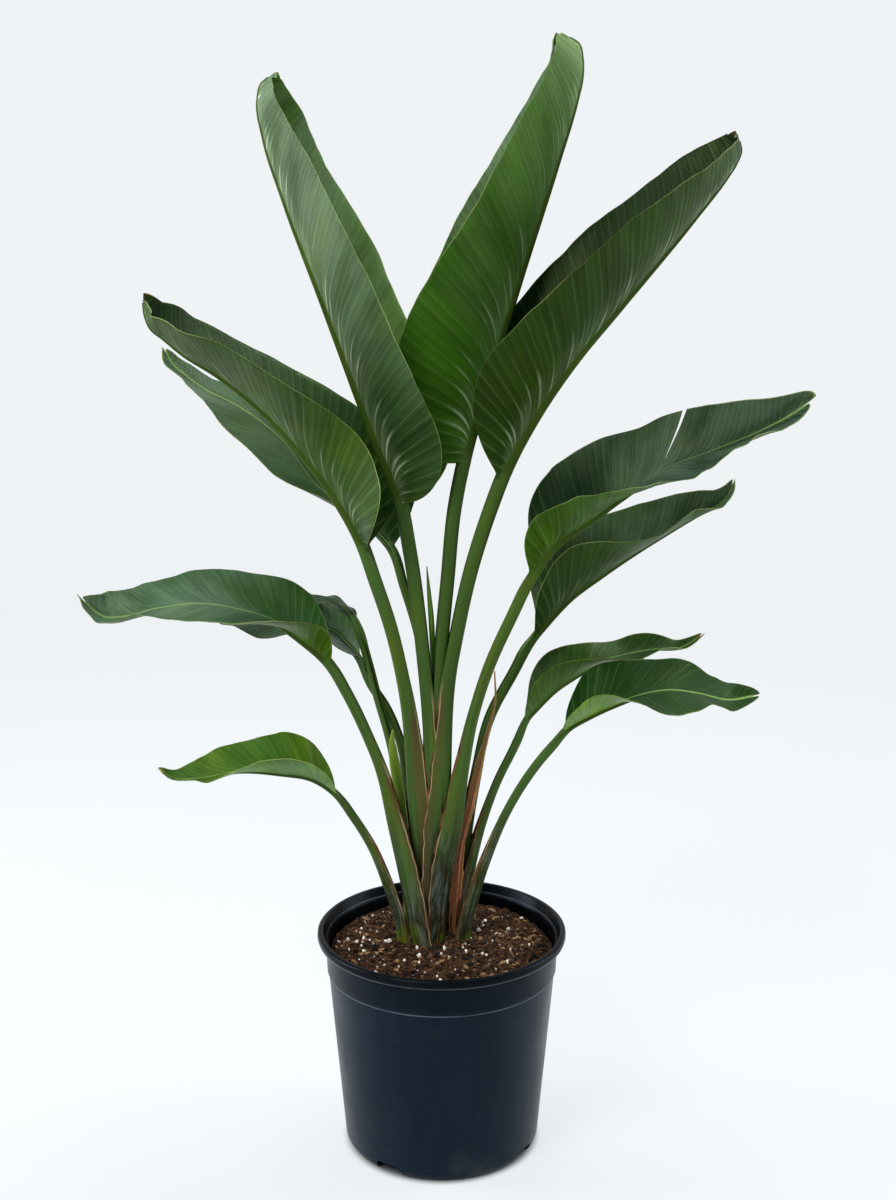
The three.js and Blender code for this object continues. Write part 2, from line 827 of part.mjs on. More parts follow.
function rolledLeaf(grow) {
  const { path, radii, steps, sides } = ROLLED_LEAF;
  return sweep((along) => {
    const radiusAt = smoothCurve(along, radii);
    const length = along[along.length - 1];
    return Array.from({ length: steps + 1 }, (_, i) => {
      const radius = radiusAt((i / steps) * length) + grow;
      const outline = Array.from({ length: sides }, (__, k) => {
        const angle = ((k + 0.5) / sides) * 2 * Math.PI;
        return [radius * Math.cos(angle), radius * Math.sin(angle)];
      });
      return { at: i / steps, outline };
    });
  }, path);
}

function looseSheath(shape, grow) {
  const { path, halfWidths, halfThickness, curl, steps, pieces } = shape;
  return sweep((along) => {
    const widthAt = smoothCurve(along, halfWidths);
    const length = along[along.length - 1];
    return Array.from({ length: steps + 1 }, (_, i) => {
      const width = widthAt((i / steps) * length) + grow;
      const bend = width / radians(curl);
      const face = (side) => Array.from({ length: pieces + 1 }, (__, k) => {
        const angle = radians(curl) * ((2 * k) / pieces - 1);
        const radius = bend + side * (halfThickness + grow);
        return [radius * Math.sin(angle), bend - radius * Math.cos(angle)];
      });
      return { at: i / steps, outline: [...face(1), ...face(-1).reverse()] };
    });
  }, path);
}

// A plain hole round the foot of a piece, as wide as its outlines up to the first above the soil.
function footHole(room, outlineSize) {
  const position = room.getAttribute("position");
  const points = [];
  let start = 0;
  let clear = false;
  while (!clear) {
    clear = position.getZ(start) > SOIL_HEIGHT + 2 * SOIL_MOUND;
    for (let i = start; i < start + outlineSize; i += 1) {
      points.push(new THREE.Vector3().fromBufferAttribute(position, i));
    }
    start += outlineSize;
  }
  return toSolid(new ConvexGeometry(points));
}

// Stands each piece in the soil, and cuts it clear of the stalks that wrap round it from outside.
function addPlant(group, soil) {
  let taken = null;
  let ground = soil;
  const add = (name, whole, room, outlineSize, color, roughness) => {
    const body = taken ? whole.subtract(taken) : whole;
    taken = taken ? taken.add(toSolid(room)) : toSolid(room);
    ground = ground.subtract(footHole(room, outlineSize));
    group.add(named(name, toGeometry(body), color, roughness));
  };
  const leafOutline = 4 * (WING_STEPS + 1) + 4;
  LEAVES.forEach((leaf) => {
    add(leaf.name, leafSolid(leaf), stalkRoom(leaf), leafOutline, leaf.color, LEAF_ROUGHNESS);
  });
  const rolled = toSolid(rolledLeaf(0));
  add("rolled_leaf", rolled, rolledLeaf(GAP), ROLLED_LEAF.sides, YOUNG_COLOR, LEAF_ROUGHNESS);
  const sheaths = [
    ["dry_sheath", DRY_SHEATH, DRY_COLOR, DRY_ROUGHNESS],
    ["green_sheath", GREEN_SHEATH, YOUNG_COLOR, LEAF_ROUGHNESS],
  ];
  sheaths.forEach(([name, shape, color, roughness]) => {
    const solid = toSolid(looseSheath(shape, 0));
    add(name, solid, looseSheath(shape, GAP), 2 * (shape.pieces + 1), color, roughness);
  });
  return ground;
}

// A quarter circle of the wall's rounded foot, from its bottom outward.
function footArc(radius) {
  const middle = WALL_FOOT_RADIUS - FOOT_ROUND;
  return [-90, -60, -30, 0].map((degrees) => {
    const a = radians(degrees);
    return [middle + radius * Math.cos(a), FOOT_ROUND + radius * Math.sin(a)];
  });
}

// The floor stands on a pad in its middle, and the wall on a thin ring. Between them the floor is
// raised, and the notches drain it there.
function potOutline() {
  const footInner = WALL_FOOT_RADIUS - FOOT_ROUND - FOOT_RING_WIDTH;
  const rimFoot = POT_HEIGHT - RIM_DEPTH;
  const line = [
    [0, 0],
    [FLOOR_PAD_RADIUS, 0],
    [FLOOR_PAD_RADIUS + FLOOR_PAD_SLOPE, CHANNEL_HEIGHT],
    [WALL_FOOT_RADIUS - POT_WALL, CHANNEL_HEIGHT],
    ...footArc(FOOT_ROUND - POT_WALL).reverse(),
    [footInner, FOOT_RING_HEIGHT],
    [footInner, 0],
    ...footArc(FOOT_ROUND),
    [WALL_TOP_RADIUS, STEP_HEIGHT - 2],
    [STEP_RADIUS, STEP_HEIGHT],
    [COLLAR_RADIUS, rimFoot],
    [RIM_RADIUS - 1, rimFoot],
    [RIM_RADIUS, rimFoot + 2],
    [RIM_RADIUS, POT_HEIGHT - 2.5],
    [RIM_RADIUS - 2.5, POT_HEIGHT],
    [RIM_INNER_RADIUS + 2, POT_HEIGHT],
    [RIM_INNER_RADIUS, POT_HEIGHT - 2],
    [COLLAR_RADIUS - POT_WALL, rimFoot],
    [innerWall(STEP_HEIGHT - 4), STEP_HEIGHT - 4],
    ...floorOutline(0),
  ];
  return line.map(([r, z]) => new THREE.Vector2(r, z));
}

// The inside of the pot's wall and floor, as radius at a height and as an outline down to the middle.
function innerWall(z) {
  const t = clamp01((z - FOOT_ROUND - 2) / (STEP_HEIGHT - 4 - FOOT_ROUND - 2));
  return WALL_FOOT_RADIUS + (WALL_TOP_RADIUS - WALL_FOOT_RADIUS) * t - POT_WALL;
}

function floorOutline(gap) {
  const top = CHANNEL_HEIGHT + POT_FLOOR + gap;
  return [
    [innerWall(top) - gap, top],
    [FLOOR_PAD_RADIUS + FLOOR_PAD_SLOPE - POT_FLOOR - gap, top],
    [FLOOR_PAD_RADIUS - POT_FLOOR - gap, POT_FLOOR + gap],
    [0, POT_FLOOR + gap],
  ];
}

function turned(outline, segments) {
  const geometry = new THREE.LatheGeometry(outline, segments);
  geometry.rotateX(Math.PI / 2);
  geometry.deleteAttribute("normal");
  geometry.deleteAttribute("uv");
  return outwardFacing(BufferGeometryUtils.mergeVertices(geometry, 1e-4));
}

function potGeometry() {
  let pot = toSolid(turned(potOutline(), POT_SEGMENTS));
  for (let i = 0; i < NOTCH_COUNT; i += 1) {
    const angle = radians(NOTCH_FIRST_ANGLE + (360 / NOTCH_COUNT) * i);
    const notch = new THREE.BoxGeometry(NOTCH_REACH, NOTCH_WIDTH, NOTCH_HEIGHT * 2);
    const reach = WALL_FOOT_RADIUS - FOOT_ROUND - 2 * FOOT_RING_WIDTH + NOTCH_REACH / 2;
    notch.translate(reach, 0, 0);
    notch.rotateZ(angle);
    pot = pot.subtract(toSolid(notch));
  }
  return toGeometry(pot);
}

function seededRandom(seed) {
  let state = seed;
  return () => {
    state = (state * 16807) % 2147483647;
    return state / 2147483647;
  };
}

// The soil fills the pot up to an uneven, slightly domed surface of bark lumps. Its top is made of
// rings of points, each with six more than the ring inside it, and its sides follow the pot.
function soilSolid() {
  const random = seededRandom(SOIL_SEED);
  const positions = [];
  const triangles = [];
  const push = (r, angle, z) => positions.push(r * Math.cos(angle), r * Math.sin(angle), z);
  const edge = innerWall(SOIL_HEIGHT) - GAP;
  push(0, 0, SOIL_HEIGHT + SOIL_MOUND);
  const ringStart = [0];
  for (let ring = 1; ring <= SOIL_RINGS; ring += 1) {
    ringStart.push(positions.length / 3);
    const share = ring / SOIL_RINGS;
    const relief = ring < SOIL_RINGS ? SOIL_RELIEF : 0;
    const count = SOIL_SECTORS * ring;
    for (let i = 0; i < count; i += 1) {
      const rise = SOIL_MOUND * (1 - share ** 2) + relief * (2 * random() - 1);
      push(edge * share, (i / count) * 2 * Math.PI, SOIL_HEIGHT + rise);
    }
  }
  for (let ring = 1; ring <= SOIL_RINGS; ring += 1) {
    const outer = (i) => ringStart[ring] + (i % (SOIL_SECTORS * ring));
    const inner = (i) => (ring === 1 ? 0 : ringStart[ring - 1] + (i % (SOIL_SECTORS * (ring - 1))));
    for (let sector = 0; sector < SOIL_SECTORS; sector += 1) {
      for (let i = 0; i < ring; i += 1) {
        const o = sector * ring + i;
        const n = sector * (ring - 1) + i;
        triangles.push([inner(n), outer(o), outer(o + 1)]);
        if (i + 1 < ring) triangles.push([inner(n), outer(o + 1), inner(n + 1)]);
      }
    }
  }
  const segments = SOIL_SECTORS * SOIL_RINGS;
  const stepFoot = STEP_HEIGHT - 4;
  const sides = [[innerWall(stepFoot) - GAP, stepFoot], ...floorOutline(GAP).slice(0, -1)];
  let above = ringStart[SOIL_RINGS];
  sides.forEach(([r, z]) => {
    const below = positions.length / 3;
    for (let i = 0; i < segments; i += 1) {
      const next = (i + 1) % segments;
      push(r, (i / segments) * 2 * Math.PI, z);
      triangles.push([above + i, below + i, below + next], [above + i, below + next, above + next]);
    }
    above = below;
  });
  const bottom = positions.length / 3;
  push(0, 0, POT_FLOOR + GAP);
  for (let i = 0; i < segments; i += 1) triangles.push([bottom, above + ((i + 1) % segments), above + i]);
  const geometry = new THREE.BufferGeometry();
  geometry.setAttribute("position", new THREE.Float32BufferAttribute(positions, 3));
  geometry.setIndex(triangles.flat());
  return toSolid(outwardFacing(geometry));
}

const plant = new THREE.Group();
const soil = addPlant(plant, soilSolid());
plant.add(named("soil", toGeometry(soil), SOIL_COLOR, DRY_ROUGHNESS));
plant.add(named("pot", potGeometry(), POT_COLOR, POT_ROUGHNESS));

export default plant;
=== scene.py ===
# A potted bird of paradise: leaves with pleats and veins, their sheathed stalks, a rolled young leaf,
# a dry sheath, a bed of bark soil and a plastic nursery pot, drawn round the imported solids.
import math

import bpy
import numpy as np
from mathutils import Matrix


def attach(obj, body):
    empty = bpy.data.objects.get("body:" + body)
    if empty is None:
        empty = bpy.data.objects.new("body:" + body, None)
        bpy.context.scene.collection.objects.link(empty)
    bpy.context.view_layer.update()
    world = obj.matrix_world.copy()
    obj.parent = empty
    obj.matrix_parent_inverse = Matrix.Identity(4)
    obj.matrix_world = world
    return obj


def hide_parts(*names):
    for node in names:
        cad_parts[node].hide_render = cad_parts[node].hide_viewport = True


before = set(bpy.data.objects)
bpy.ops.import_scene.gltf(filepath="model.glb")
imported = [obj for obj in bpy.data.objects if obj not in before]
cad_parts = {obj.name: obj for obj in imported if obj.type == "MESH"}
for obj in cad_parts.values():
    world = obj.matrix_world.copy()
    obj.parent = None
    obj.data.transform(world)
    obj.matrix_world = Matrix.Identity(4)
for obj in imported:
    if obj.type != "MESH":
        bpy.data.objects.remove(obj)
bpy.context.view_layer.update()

# The plant is drawn in millimetres and scaled to metres as its meshes are made.
MM = 0.001
UP = np.array([0, 0, 1])

# How finely a leaf is drawn: points across each half, closer near the rib, the distances between veins
# and between the stalk's rings, and how far to each side the rib's slope is measured
ACROSS_STEPS = 16
ACROSS_POWER = 1.2
BLADE_STEP = 1.7
STALK_STEP = 7
SLOPE_REACH = 1.5

# A leaf's section, in millimetres and degrees. Half a half's thickness at its root, where it meets the
# rib and how high the channel between the halves lies are shares of the rib's radius.
BLADE_HALF_THICKNESS = 0.3
ROOT_HALF_THICKNESS = 0.25
HALF_OUT = 0.8
HALF_RISE = 0.38
CHANNEL_RISE = 0.25
RIB_TIP_RADIUS = 1
STUB_WIDTH = 3
STUB_FOLD = 95
FOLD_BLEND = 40
EDGE_TURNS = (45, 90, 135)
RIB_TURNS = (-8, -32, -52, -71, -90, -109, -128, -148, -172)
CHANNEL_PLACES = (-0.66, -0.33, 0, 0.33, 0.66)

# A blade's sweep forward, long ripple, pleats, veins and tear
BLADE_SWEEP = 0.4
RIPPLE_HEIGHT = 3
RIPPLE_WAVES = 2.6
PLEAT_HEIGHT = 0.3
PLEAT_LENGTH = 7
WIDE_PLEAT_LENGTH = 8
WIDE_BLADE = 75
VEIN_BEND = 0.5
VEIN_TURN = 0.12
TEAR_FALLOFF = 0.09

# One entry for each leaf, in millimetres and degrees. First the shape, close to its solid's. node: the
# node that it replaces. foot, heading: where it stands and which way it leans. spine: the rib's points,
# how far out and how high. blade_from: the point where the blade starts. half_width, widest, taper,
# shoulder, blunt: the blade's outline. fold, curl, horns, ripple: the fold from foot to tip, the curl,
# the tip's horn and the start of the long ripple, each for the near and the far half. tear: which half
# is torn, and where the two sides of the tear run, as shares of the blade's length.
# Then the look. upper, lower: the colour of each face. haze: how pale the lower face is by its rib.
# wave: how far the near and the far edge wave.
# The rest is optional. sheath_fold, sheath_curl: the sheath's section. tuck, tuck_length: how much
# narrower the sheath is at the soil, and how far up. lobe: how far the blade reaches back at its foot.
# swell: the share of the long ripple that stays. lead: how far the veins lean forward. bloom_and_sheen,
# bloom_color: how pale the outer blade is in waxy patches, which on the upper face are a painted sheen, and
# their colour on the lower face. tip_highlight: how strong the painted highlight on the lower face is at the
# tip. rib, rib_line: the midrib's colour above and its half width.
# brown, brown_least: how far in from its edge the sheath is brown, and how much it is at least. dry,
# dry_color: where the dry tip starts, past 1 for none, and its lighter colour.
LEAF_DEFAULTS = dict(
    sheath_fold=55, sheath_curl=80, tuck=0, tuck_length=170, lobe=0, swell=1, lead=0.55, tear=None,
    bloom_and_sheen=0.04, bloom_color=(122, 150, 94), tip_highlight=0, rib=(104, 132, 66), rib_line=2,
    brown=5, brown_least=0.15, dry=1.02, dry_color=(88, 60, 36),
)
LEAVES = [
    dict(
        node="leaf_low_left", foot=(-40, 8), heading=190, blade_from=5,
        spine=[(0, 195), (8, 256), (19, 291), (37, 340), (56, 374), (75, 402), (97, 418), (131, 426),
               (173, 431), (215, 426), (245, 429), (253, 435)],
        stalk_radius=4, foot_radius=5, sheath_top=190, sheath_width=8,
        half_width=52, widest=0.29, taper=1, shoulder=0.75, blunt=0.83,
        fold=[(10, 39, 22, 12, 11), (22, 36, 30, 37, 42)], curl=(15, 13), horns=(6, 6), ripple=(0.1, 0.6),
        upper=(54, 88, 24), lower=(66, 108, 34), haze=0.05, wave=(1.2, 2.2), dry=0.984,
        dry_color=(176, 158, 62),
    ),
    dict(
        node="leaf_low_right", foot=(22, 10), heading=-10, blade_from=7,
        spine=[(0, 195), (7, 248), (13, 273), (29, 327), (49, 378), (86, 440), (97, 454), (111, 473),
               (135, 489), (164, 504), (187, 514), (217, 521), (246, 519), (278, 514), (300, 519)],
        stalk_radius=4.2, foot_radius=5.2, sheath_top=190, sheath_width=10,
        half_width=56, widest=0.19, taper=2.3, shoulder=0.75, blunt=0.84,
        fold=[(16, 30, -13, -1, -19), (25, 37, 21, 19, 49)], curl=(14, 14), horns=(7, 8),
        ripple=(0.3, 0.8),
        upper=(20, 50, 14), lower=(84, 128, 10), haze=0.01, wave=(1.7, 1.1), bloom_and_sheen=0.03,
        rib=(118, 152, 80), rib_line=2.8,
    ),
    dict(
        node="leaf_long_left", foot=(-22, 5), heading=182, blade_from=6,
        spine=[(0, 195), (13, 273), (30, 360), (44, 428), (58, 466), (78, 510), (97, 543), (123, 567),
               (149, 586), (186, 599), (226, 606), (269, 602), (310, 593), (324, 593), (335, 599),
               (344, 609)],
        stalk_radius=5.4, foot_radius=5.5, sheath_top=278, sheath_width=20,
        half_width=56, widest=0.26, taper=3.1, shoulder=1.05, blunt=0.83,
        fold=[(88, 13, -4, 11, 2), (47, 38, 24, 29, 78)], curl=(35, 12), horns=(12, 6), ripple=(0.5, 0),
        swell=0.5,
        upper=(27, 60, 28), lower=(54, 84, 12), haze=0.05, wave=(0.9, 1), bloom_and_sheen=0.28, rib=(116, 140, 88),
        rib_line=3.4, brown=9, dry=0.988, dry_color=(86, 42, 34),
    ),
    dict(
        node="leaf_torn_right", foot=(-6, 8), heading=-5, blade_from=7,
        spine=[(0, 195), (11, 295), (23, 362), (30, 425), (39, 479), (55, 534), (80, 593), (102, 639),
               (128, 673), (152, 690), (188, 718), (216, 738), (235, 750), (277, 767), (332, 792),
               (359, 808), (367, 814)],
        stalk_radius=5.8, foot_radius=5.5, sheath_top=314, sheath_width=24,
        half_width=66, widest=0.25, taper=1.2, shoulder=1.1, blunt=0.56,
        fold=[(64, 34, -7, 1, -19), (28, 88, 51, 87, 73)], curl=(27, 8), horns=(6, 16), ripple=(0.2, 0.7),
        tuck=0.5,
        tear={"half": 1, "from": 0.07, "left": (0.527, 0.555, 0.576, 0.59),
              "right": (0.527, 0.559, 0.583, 0.6005)},
        upper=(8, 31, 13), lower=(42, 74, 12), haze=0.06, wave=(2.6, 0.8), lead=0.42, bloom_and_sheen=0.2,
        rib=(112, 144, 80), rib_line=3,
    ),
    dict(
        node="leaf_upper_left_front", foot=(-19, 11), heading=184, blade_from=6,
        spine=[(0, 195), (5, 309), (11, 393), (19, 506), (33, 575), (52, 636), (61, 664), (87, 714),
               (121, 761), (160, 805), (206, 843), (239, 864), (258, 880), (269, 889), (275, 904),
               (276, 915)],
        stalk_radius=7, foot_radius=5.5, sheath_top=346, sheath_width=33,
        half_width=91, widest=0.17, taper=2.7, shoulder=1.1, blunt=0.8,
        fold=[(7, 40, 29, 27, 27), (72, 52, 26, 30, 60)], curl=(13, 13), horns=(3, 9), ripple=(0.6, 0.1),
        tuck=0.78, tuck_length=340, swell=0.4,
        upper=(16, 42, 10), lower=(32, 56, 8), haze=0.14, wave=(0.5, 0.4), brown=30, brown_least=0.6,
        dry=0.992,
    ),
    dict(
        node="leaf_upright_right", foot=(-6, 8), heading=2, blade_from=7,
        spine=[(0, 195), (4, 308), (9, 388), (16, 537), (21, 565), (37, 640), (60, 713), (69, 737),
               (102, 800), (141, 856), (183, 906), (259, 997), (289, 1036), (297, 1049), (301, 1061),
               (299, 1070)],
        stalk_radius=7.5, foot_radius=5, sheath_top=371, sheath_width=24, sheath_fold=65, sheath_curl=70,
        half_width=88, widest=0.24, taper=3.4, shoulder=1.1, blunt=0.78,
        fold=[(82, 59, 47, 35, 31), (74, 60, 55, 44, 61)], curl=(25, 12), horns=(7, 10),
        ripple=(0.6, 0.1), tuck=0.5, swell=0.5,
        upper=(9, 28, 6), lower=(27, 52, 6), haze=0.18, wave=(1.2, 0.4), brown=15, brown_least=0.5,
        dry=0.993,
    ),
    dict(
        node="leaf_upright_left", foot=(-13, 8), heading=177, blade_from=5,
        spine=[(0, 195), (-1, 331), (2, 499), (7, 556), (20, 661), (29, 710), (56, 782), (104, 911),
               (143, 1015), (161, 1072), (166, 1109), (162, 1124), (155, 1130)],
        stalk_radius=7.2, foot_radius=4.5, sheath_top=361, sheath_width=14, sheath_fold=75,
        sheath_curl=50,
        half_width=95, widest=0.25, taper=2.7, shoulder=0.53, blunt=0.79,
        fold=[(65, 43, 39, 37, 41), (81, 47, 40, 38, 79)], curl=(16, 13), horns=(9, 10),
        ripple=(0.35, 0.85), lobe=0.06, tuck=0.4, swell=0.4,
        upper=(58, 98, 20), lower=(38, 62, 28), haze=0.26, wave=(0.5, 0.4), bloom_and_sheen=0.24,
        bloom_color=(138, 158, 132), tip_highlight=0.15,
    ),
    dict(
        node="leaf_upright_centre", foot=(-8, 9), heading=10, blade_from=6,
        spine=[(0, 195), (1, 331), (3, 444), (10, 575), (15, 627), (23, 707), (32, 752), (55, 832),
               (87, 933), (126, 1050), (144, 1108), (149, 1131), (149, 1147), (145, 1162), (136, 1168)],
        stalk_radius=7, foot_radius=4, sheath_top=326, sheath_width=12, sheath_fold=75, sheath_curl=50,
        half_width=97, widest=0.23, taper=1.7, shoulder=0.58, blunt=0.4,
        fold=[(96, 87, 56, 49, 46), (90, 56, 44, 29, 26)], curl=(13, 15), horns=(10, 3),
        ripple=(0.75, 0.25), lobe=0.4, tuck=0.4, swell=0.6,
        upper=(20, 50, 2), lower=(34, 76, 0), haze=0.14, wave=(0.5, 0.5), bloom_and_sheen=0.22, tip_highlight=0.5,
    ),
    dict(
        node="leaf_small_right", foot=(18, 34), heading=8, blade_from=5,
        spine=[(0, 195), (14, 294), (27, 350), (42, 394), (66, 445), (75, 468), (85, 479), (105, 498),
               (130, 514), (153, 527), (186, 535), (213, 539), (243, 540), (253, 545), (263, 552)],
        stalk_radius=3.8, foot_radius=5, sheath_top=204, sheath_width=10,
        half_width=39, widest=0.26, taper=1, shoulder=0.8, blunt=0.83,
        fold=[(42, 57, 8, 11, 0), (5, 49, 24, 49, 49)], curl=(14, 15), horns=(5, 3), ripple=(0.15, 0.5),
        upper=(24, 54, 12), lower=(56, 90, 18), haze=0.02, wave=(0.9, 0.9), dry=0.972,
        dry_color=(136, 112, 48),
    ),
    dict(
        node="leaf_second_right", foot=(16, 38), heading=12, blade_from=5,
        spine=[(0, 195), (11, 324), (21, 393), (38, 470), (62, 515), (87, 558), (96, 568), (124, 596),
               (158, 619), (197, 643), (231, 662), (267, 681), (287, 690), (301, 706), (303, 713)],
        stalk_radius=5, foot_radius=5, sheath_top=248, sheath_width=14,
        half_width=68, widest=0.26, taper=1, shoulder=1.05, blunt=0.79,
        fold=[(50, 58, 28, 24, 6), (-15, 64, 46, 63, 73)], curl=(18, 9), horns=(6, 4), ripple=(0.4, 0.9),
        upper=(19, 44, 12), lower=(32, 60, 14), haze=0.08, wave=(1.4, 0.8), bloom_and_sheen=0.2,
    ),
    dict(
        node="leaf_middle_left_back", foot=(-31, 60), heading=163, blade_from=6,
        spine=[(0, 195), (4, 310), (7, 374), (17, 439), (31, 471), (49, 497), (64, 529), (76, 541),
               (88, 552), (99, 556), (141, 567), (188, 564), (231, 553)],
        stalk_radius=4.2, foot_radius=4.5, sheath_top=203, sheath_width=10,
        half_width=56, widest=0.34, taper=1.8, shoulder=0.7, blunt=0.9,
        fold=[(14, 4, -16, 0, 20), (-20, 12, 3, 8, 22)], curl=(15, 14), horns=(6, 6), ripple=(0.65, 0.15),
        lobe=0.2,
        upper=(26, 62, 26), lower=(36, 70, 10), haze=0.03, wave=(0.6, 1), bloom_and_sheen=0.08,
    ),
    dict(
        node="leaf_upper_left_back", foot=(-20, 75), heading=160, blade_from=5,
        spine=[(0, 195), (-2, 364), (-3, 479), (5, 546), (23, 605), (38, 646), (53, 661), (84, 682),
               (120, 706), (165, 757), (212, 788), (258, 808), (278, 821), (293, 833), (300, 845)],
        stalk_radius=4.2, foot_radius=5, sheath_top=180, sheath_width=12,
        half_width=86, widest=0.15, taper=1.7, shoulder=1, blunt=0.85,
        fold=[(20, 17, -7, 13, -1), (43, 65, 30, 3, 25)], curl=(14, 13), horns=(6, 3), ripple=(0, 0.45),
        upper=(24, 52, 18), lower=(28, 56, 8), haze=0.06, wave=(0.5, 0.5), bloom_and_sheen=0.14,
    ),
    dict(
        node="leaf_hidden_left", foot=(-36, 37), heading=140, blade_from=7,
        spine=[(0, 195), (8, 323), (16, 385), (25, 431), (46, 488), (57, 520), (67, 545), (80, 568),
               (93, 578), (112, 583), (135, 583), (159, 581), (186, 580)],
        stalk_radius=3.8, foot_radius=4.5, sheath_top=284, sheath_width=10,
        half_width=16, widest=0.3, taper=2, shoulder=0.7, blunt=0.9,
        fold=[(10, 0, -4, -4, 0), (-8, -18, -14, -10, 0)], curl=(15, 15), horns=(6, 6), ripple=(0.8, 0.3),
        upper=(14, 34, 14), lower=(22, 46, 10), haze=0.02, wave=(0.4, 0.4), rib=(44, 66, 32),
    ),
]

# The rolled young leaf and the two loose sheaths: the middle of each, and its radius or half width
ROLLED_PATH = [(-9, 30, 195), (-8, 26, 380), (-8, 22, 500), (-9, 18, 545), (-10, 12, 580),
               (-13, 9, 620), (-15, 9, 644)]
ROLLED_RADII = [3, 3, 3, 2.6, 3.1, 2, 0.5]
DRY_PATH = [(12, 25, 195), (16, 24, 290), (20, 24, 325), (33, 24, 386), (39, 24, 416), (48, 24, 454),
            (57, 24, 494), (56, 24, 527)]
DRY_WIDTHS = [7, 7, 5.5, 5, 4.5, 2.2, 1.2, 0.6]
GREEN_PATH = [(-34, 22, 195), (-36, 24, 264), (-40, 26, 323), (-44, 28, 369), (-48, 29, 403),
              (-51, 29, 424), (-52, 29, 437), (-53, 29, 448), (-52, 29, 460)]
GREEN_WIDTHS = [5, 6, 6.5, 7, 6.5, 6, 5, 3, 0.6]
SHEATH_CURVE = 60
SHEATH_HALF_THICKNESS = 0.4

# Pot, in millimetres
POT_HEIGHT = 246
RIM_RADIUS = 134
RIM_DEPTH = 10
RIM_INNER_RADIUS = 127
COLLAR_RADIUS = 125
STEP_HEIGHT = 202
STEP_FOOT = STEP_HEIGHT - 4
STEP_RADIUS = 123.8
WALL_TOP_RADIUS = 122.2
WALL_FOOT_RADIUS = 106
FOOT_ROUND = 12
FOOT_POINTS = 10
POT_WALL = 2.5
POT_FLOOR = 3
FLOOR_PAD_RADIUS = 70
FLOOR_PAD_SLOPE = 6
CHANNEL_HEIGHT = 15
FOOT_RING_WIDTH = 4
FOOT_RING_HEIGHT = 2.5
POT_SEGMENTS = 192
ROUNDING_STEP = 0.26
NOTCH_ANGLES = (-123, -33, 57, 147)
NOTCH_WIDTH = 35
NOTCH_HEIGHT = 13
NOTCH_SLANT = 2.7
NOTCH_ROUND = 3
NOTCH_BELOW = 5
NOTCH_REACH = (WALL_FOOT_RADIUS - FOOT_ROUND - 2 * FOOT_RING_WIDTH, WALL_FOOT_RADIUS + 20)
SHARP_ANGLE = 32

# Soil, in millimetres. SOIL_LUMPS: the width and the height of the ground's lumps. A margin is how far
# the pieces stay from the soil's edge, and LENGTHS, WIDTHS and SIZES are the least and the most.
# CHIP_RINGS: how far along a chip its rings are, and how wide. FIBRE_SPREADS: the least and the most
# length of the fibres, then their bend in radians, their hump and their radius.
SOIL_HEIGHT = 225
SOIL_MOUND = 4
SOIL_LUMPS = ((31, 4), (13, 3.4), (6, 3), (2.7, 1.8))
SOIL_RADIUS = 119.2
SOIL_GAP = 0.4
SOIL_RINGS = 84
SOIL_SEGMENTS = 220
SOIL_RING_SPREAD = 0.55
LUMP_GRID = 64
LUMP_SHIFT = 1000
CHIP_COUNT = 3400
CHIP_MARGIN = 5
CHIP_TILT = 0.28
CHIP_LENGTHS = (0.8, 9)
CHIP_WIDTHS = (0.6, 3)
CHIP_SIDES = 6
CHIP_RINGS = [(-1, 0.35), (-0.55, 0.9), (0.5, 1), (1, 0.3)]
FIBRE_COUNT = 1200
FIBRE_MARGIN = 12
FIBRE_STEPS = 7
FIBRE_SIDES = 3
FIBRE_SPREADS = ((5, 24), (-1.9, 1.9), (0.4, 3), (0.12, 0.36))
PERLITE_COUNT = 270
PERLITE_MARGIN = 6
PERLITE_SIZES = (0.3, 2.8)
PERLITE_STEPS = 5
PERLITE_SIDES = 7

# Camera, in metres and degrees, its lens and sensor in millimetres
CAMERA_PLACE = (0.0069, -1.85, 1.082)
CAMERA_TILT = 14.3
CAMERA_LENS = 55.5
SENSOR_HEIGHT = 36

# Gloss, floor and room. GLOW_NEAR, GLOW_FAR: where the floor's glow starts and is full, in metres.
LEAF_SPECULAR = 0.13
LEAF_SHEEN_TINT = (230, 255, 170)
POT_SPECULAR = 0.11
POT_SHEEN_TINT = (190, 215, 240)
FLOOR_RADIUS = 3.4
FLOOR_SIDES = 96
FLOOR_CLEAR = 0.9
FLOOR_COLOR = (108, 110, 112)
FLOOR_COLOR_LIGHT = (112, 114, 116)
FLOOR_GLOW_COLOR = (238, 242, 245)
FLOOR_GLOW = 0.775
# Between GLOW_NEAR and GLOW_FAR the weaker glow paints a faint contact shadow round the pot's foot.
GLOW_NEAR = 0.097
GLOW_FAR = 0.111
WORLD_COLOR = (239, 243, 245)
CEILING_COLOR = (150, 156, 160)

# Soft lights, in metres and watts: the place, the point that it shines on, the size, power and colour
LIGHTS = dict(
    key=((-1.4, -1.9, 2.7), (0, 0, 0.6), (1.3, 1.3), 75, (1.0, 0.99, 0.97)),
    left=((-2.1, 0.1, 1.2), (0, 0, 0.5), (0.8, 2.2), 46, (0.97, 0.99, 1.0)),
    right=((2.1, 0.3, 1.2), (0, 0, 0.5), (0.8, 2.2), 34, (0.97, 0.99, 1.0)),
    top=((0.2, 0.8, 2.9), (0, 0, 0.6), (1.4, 1.2), 45, (1.0, 1.0, 1.0)),
)


def smoothstep(x):
    t = np.clip(x, 0, 1)
    return t * t * (3 - 2 * t)


def distances(points):
    """How far along their line the points are."""
    return np.concatenate([[0], np.cumsum(np.linalg.norm(np.diff(points, axis=0), axis=1))])


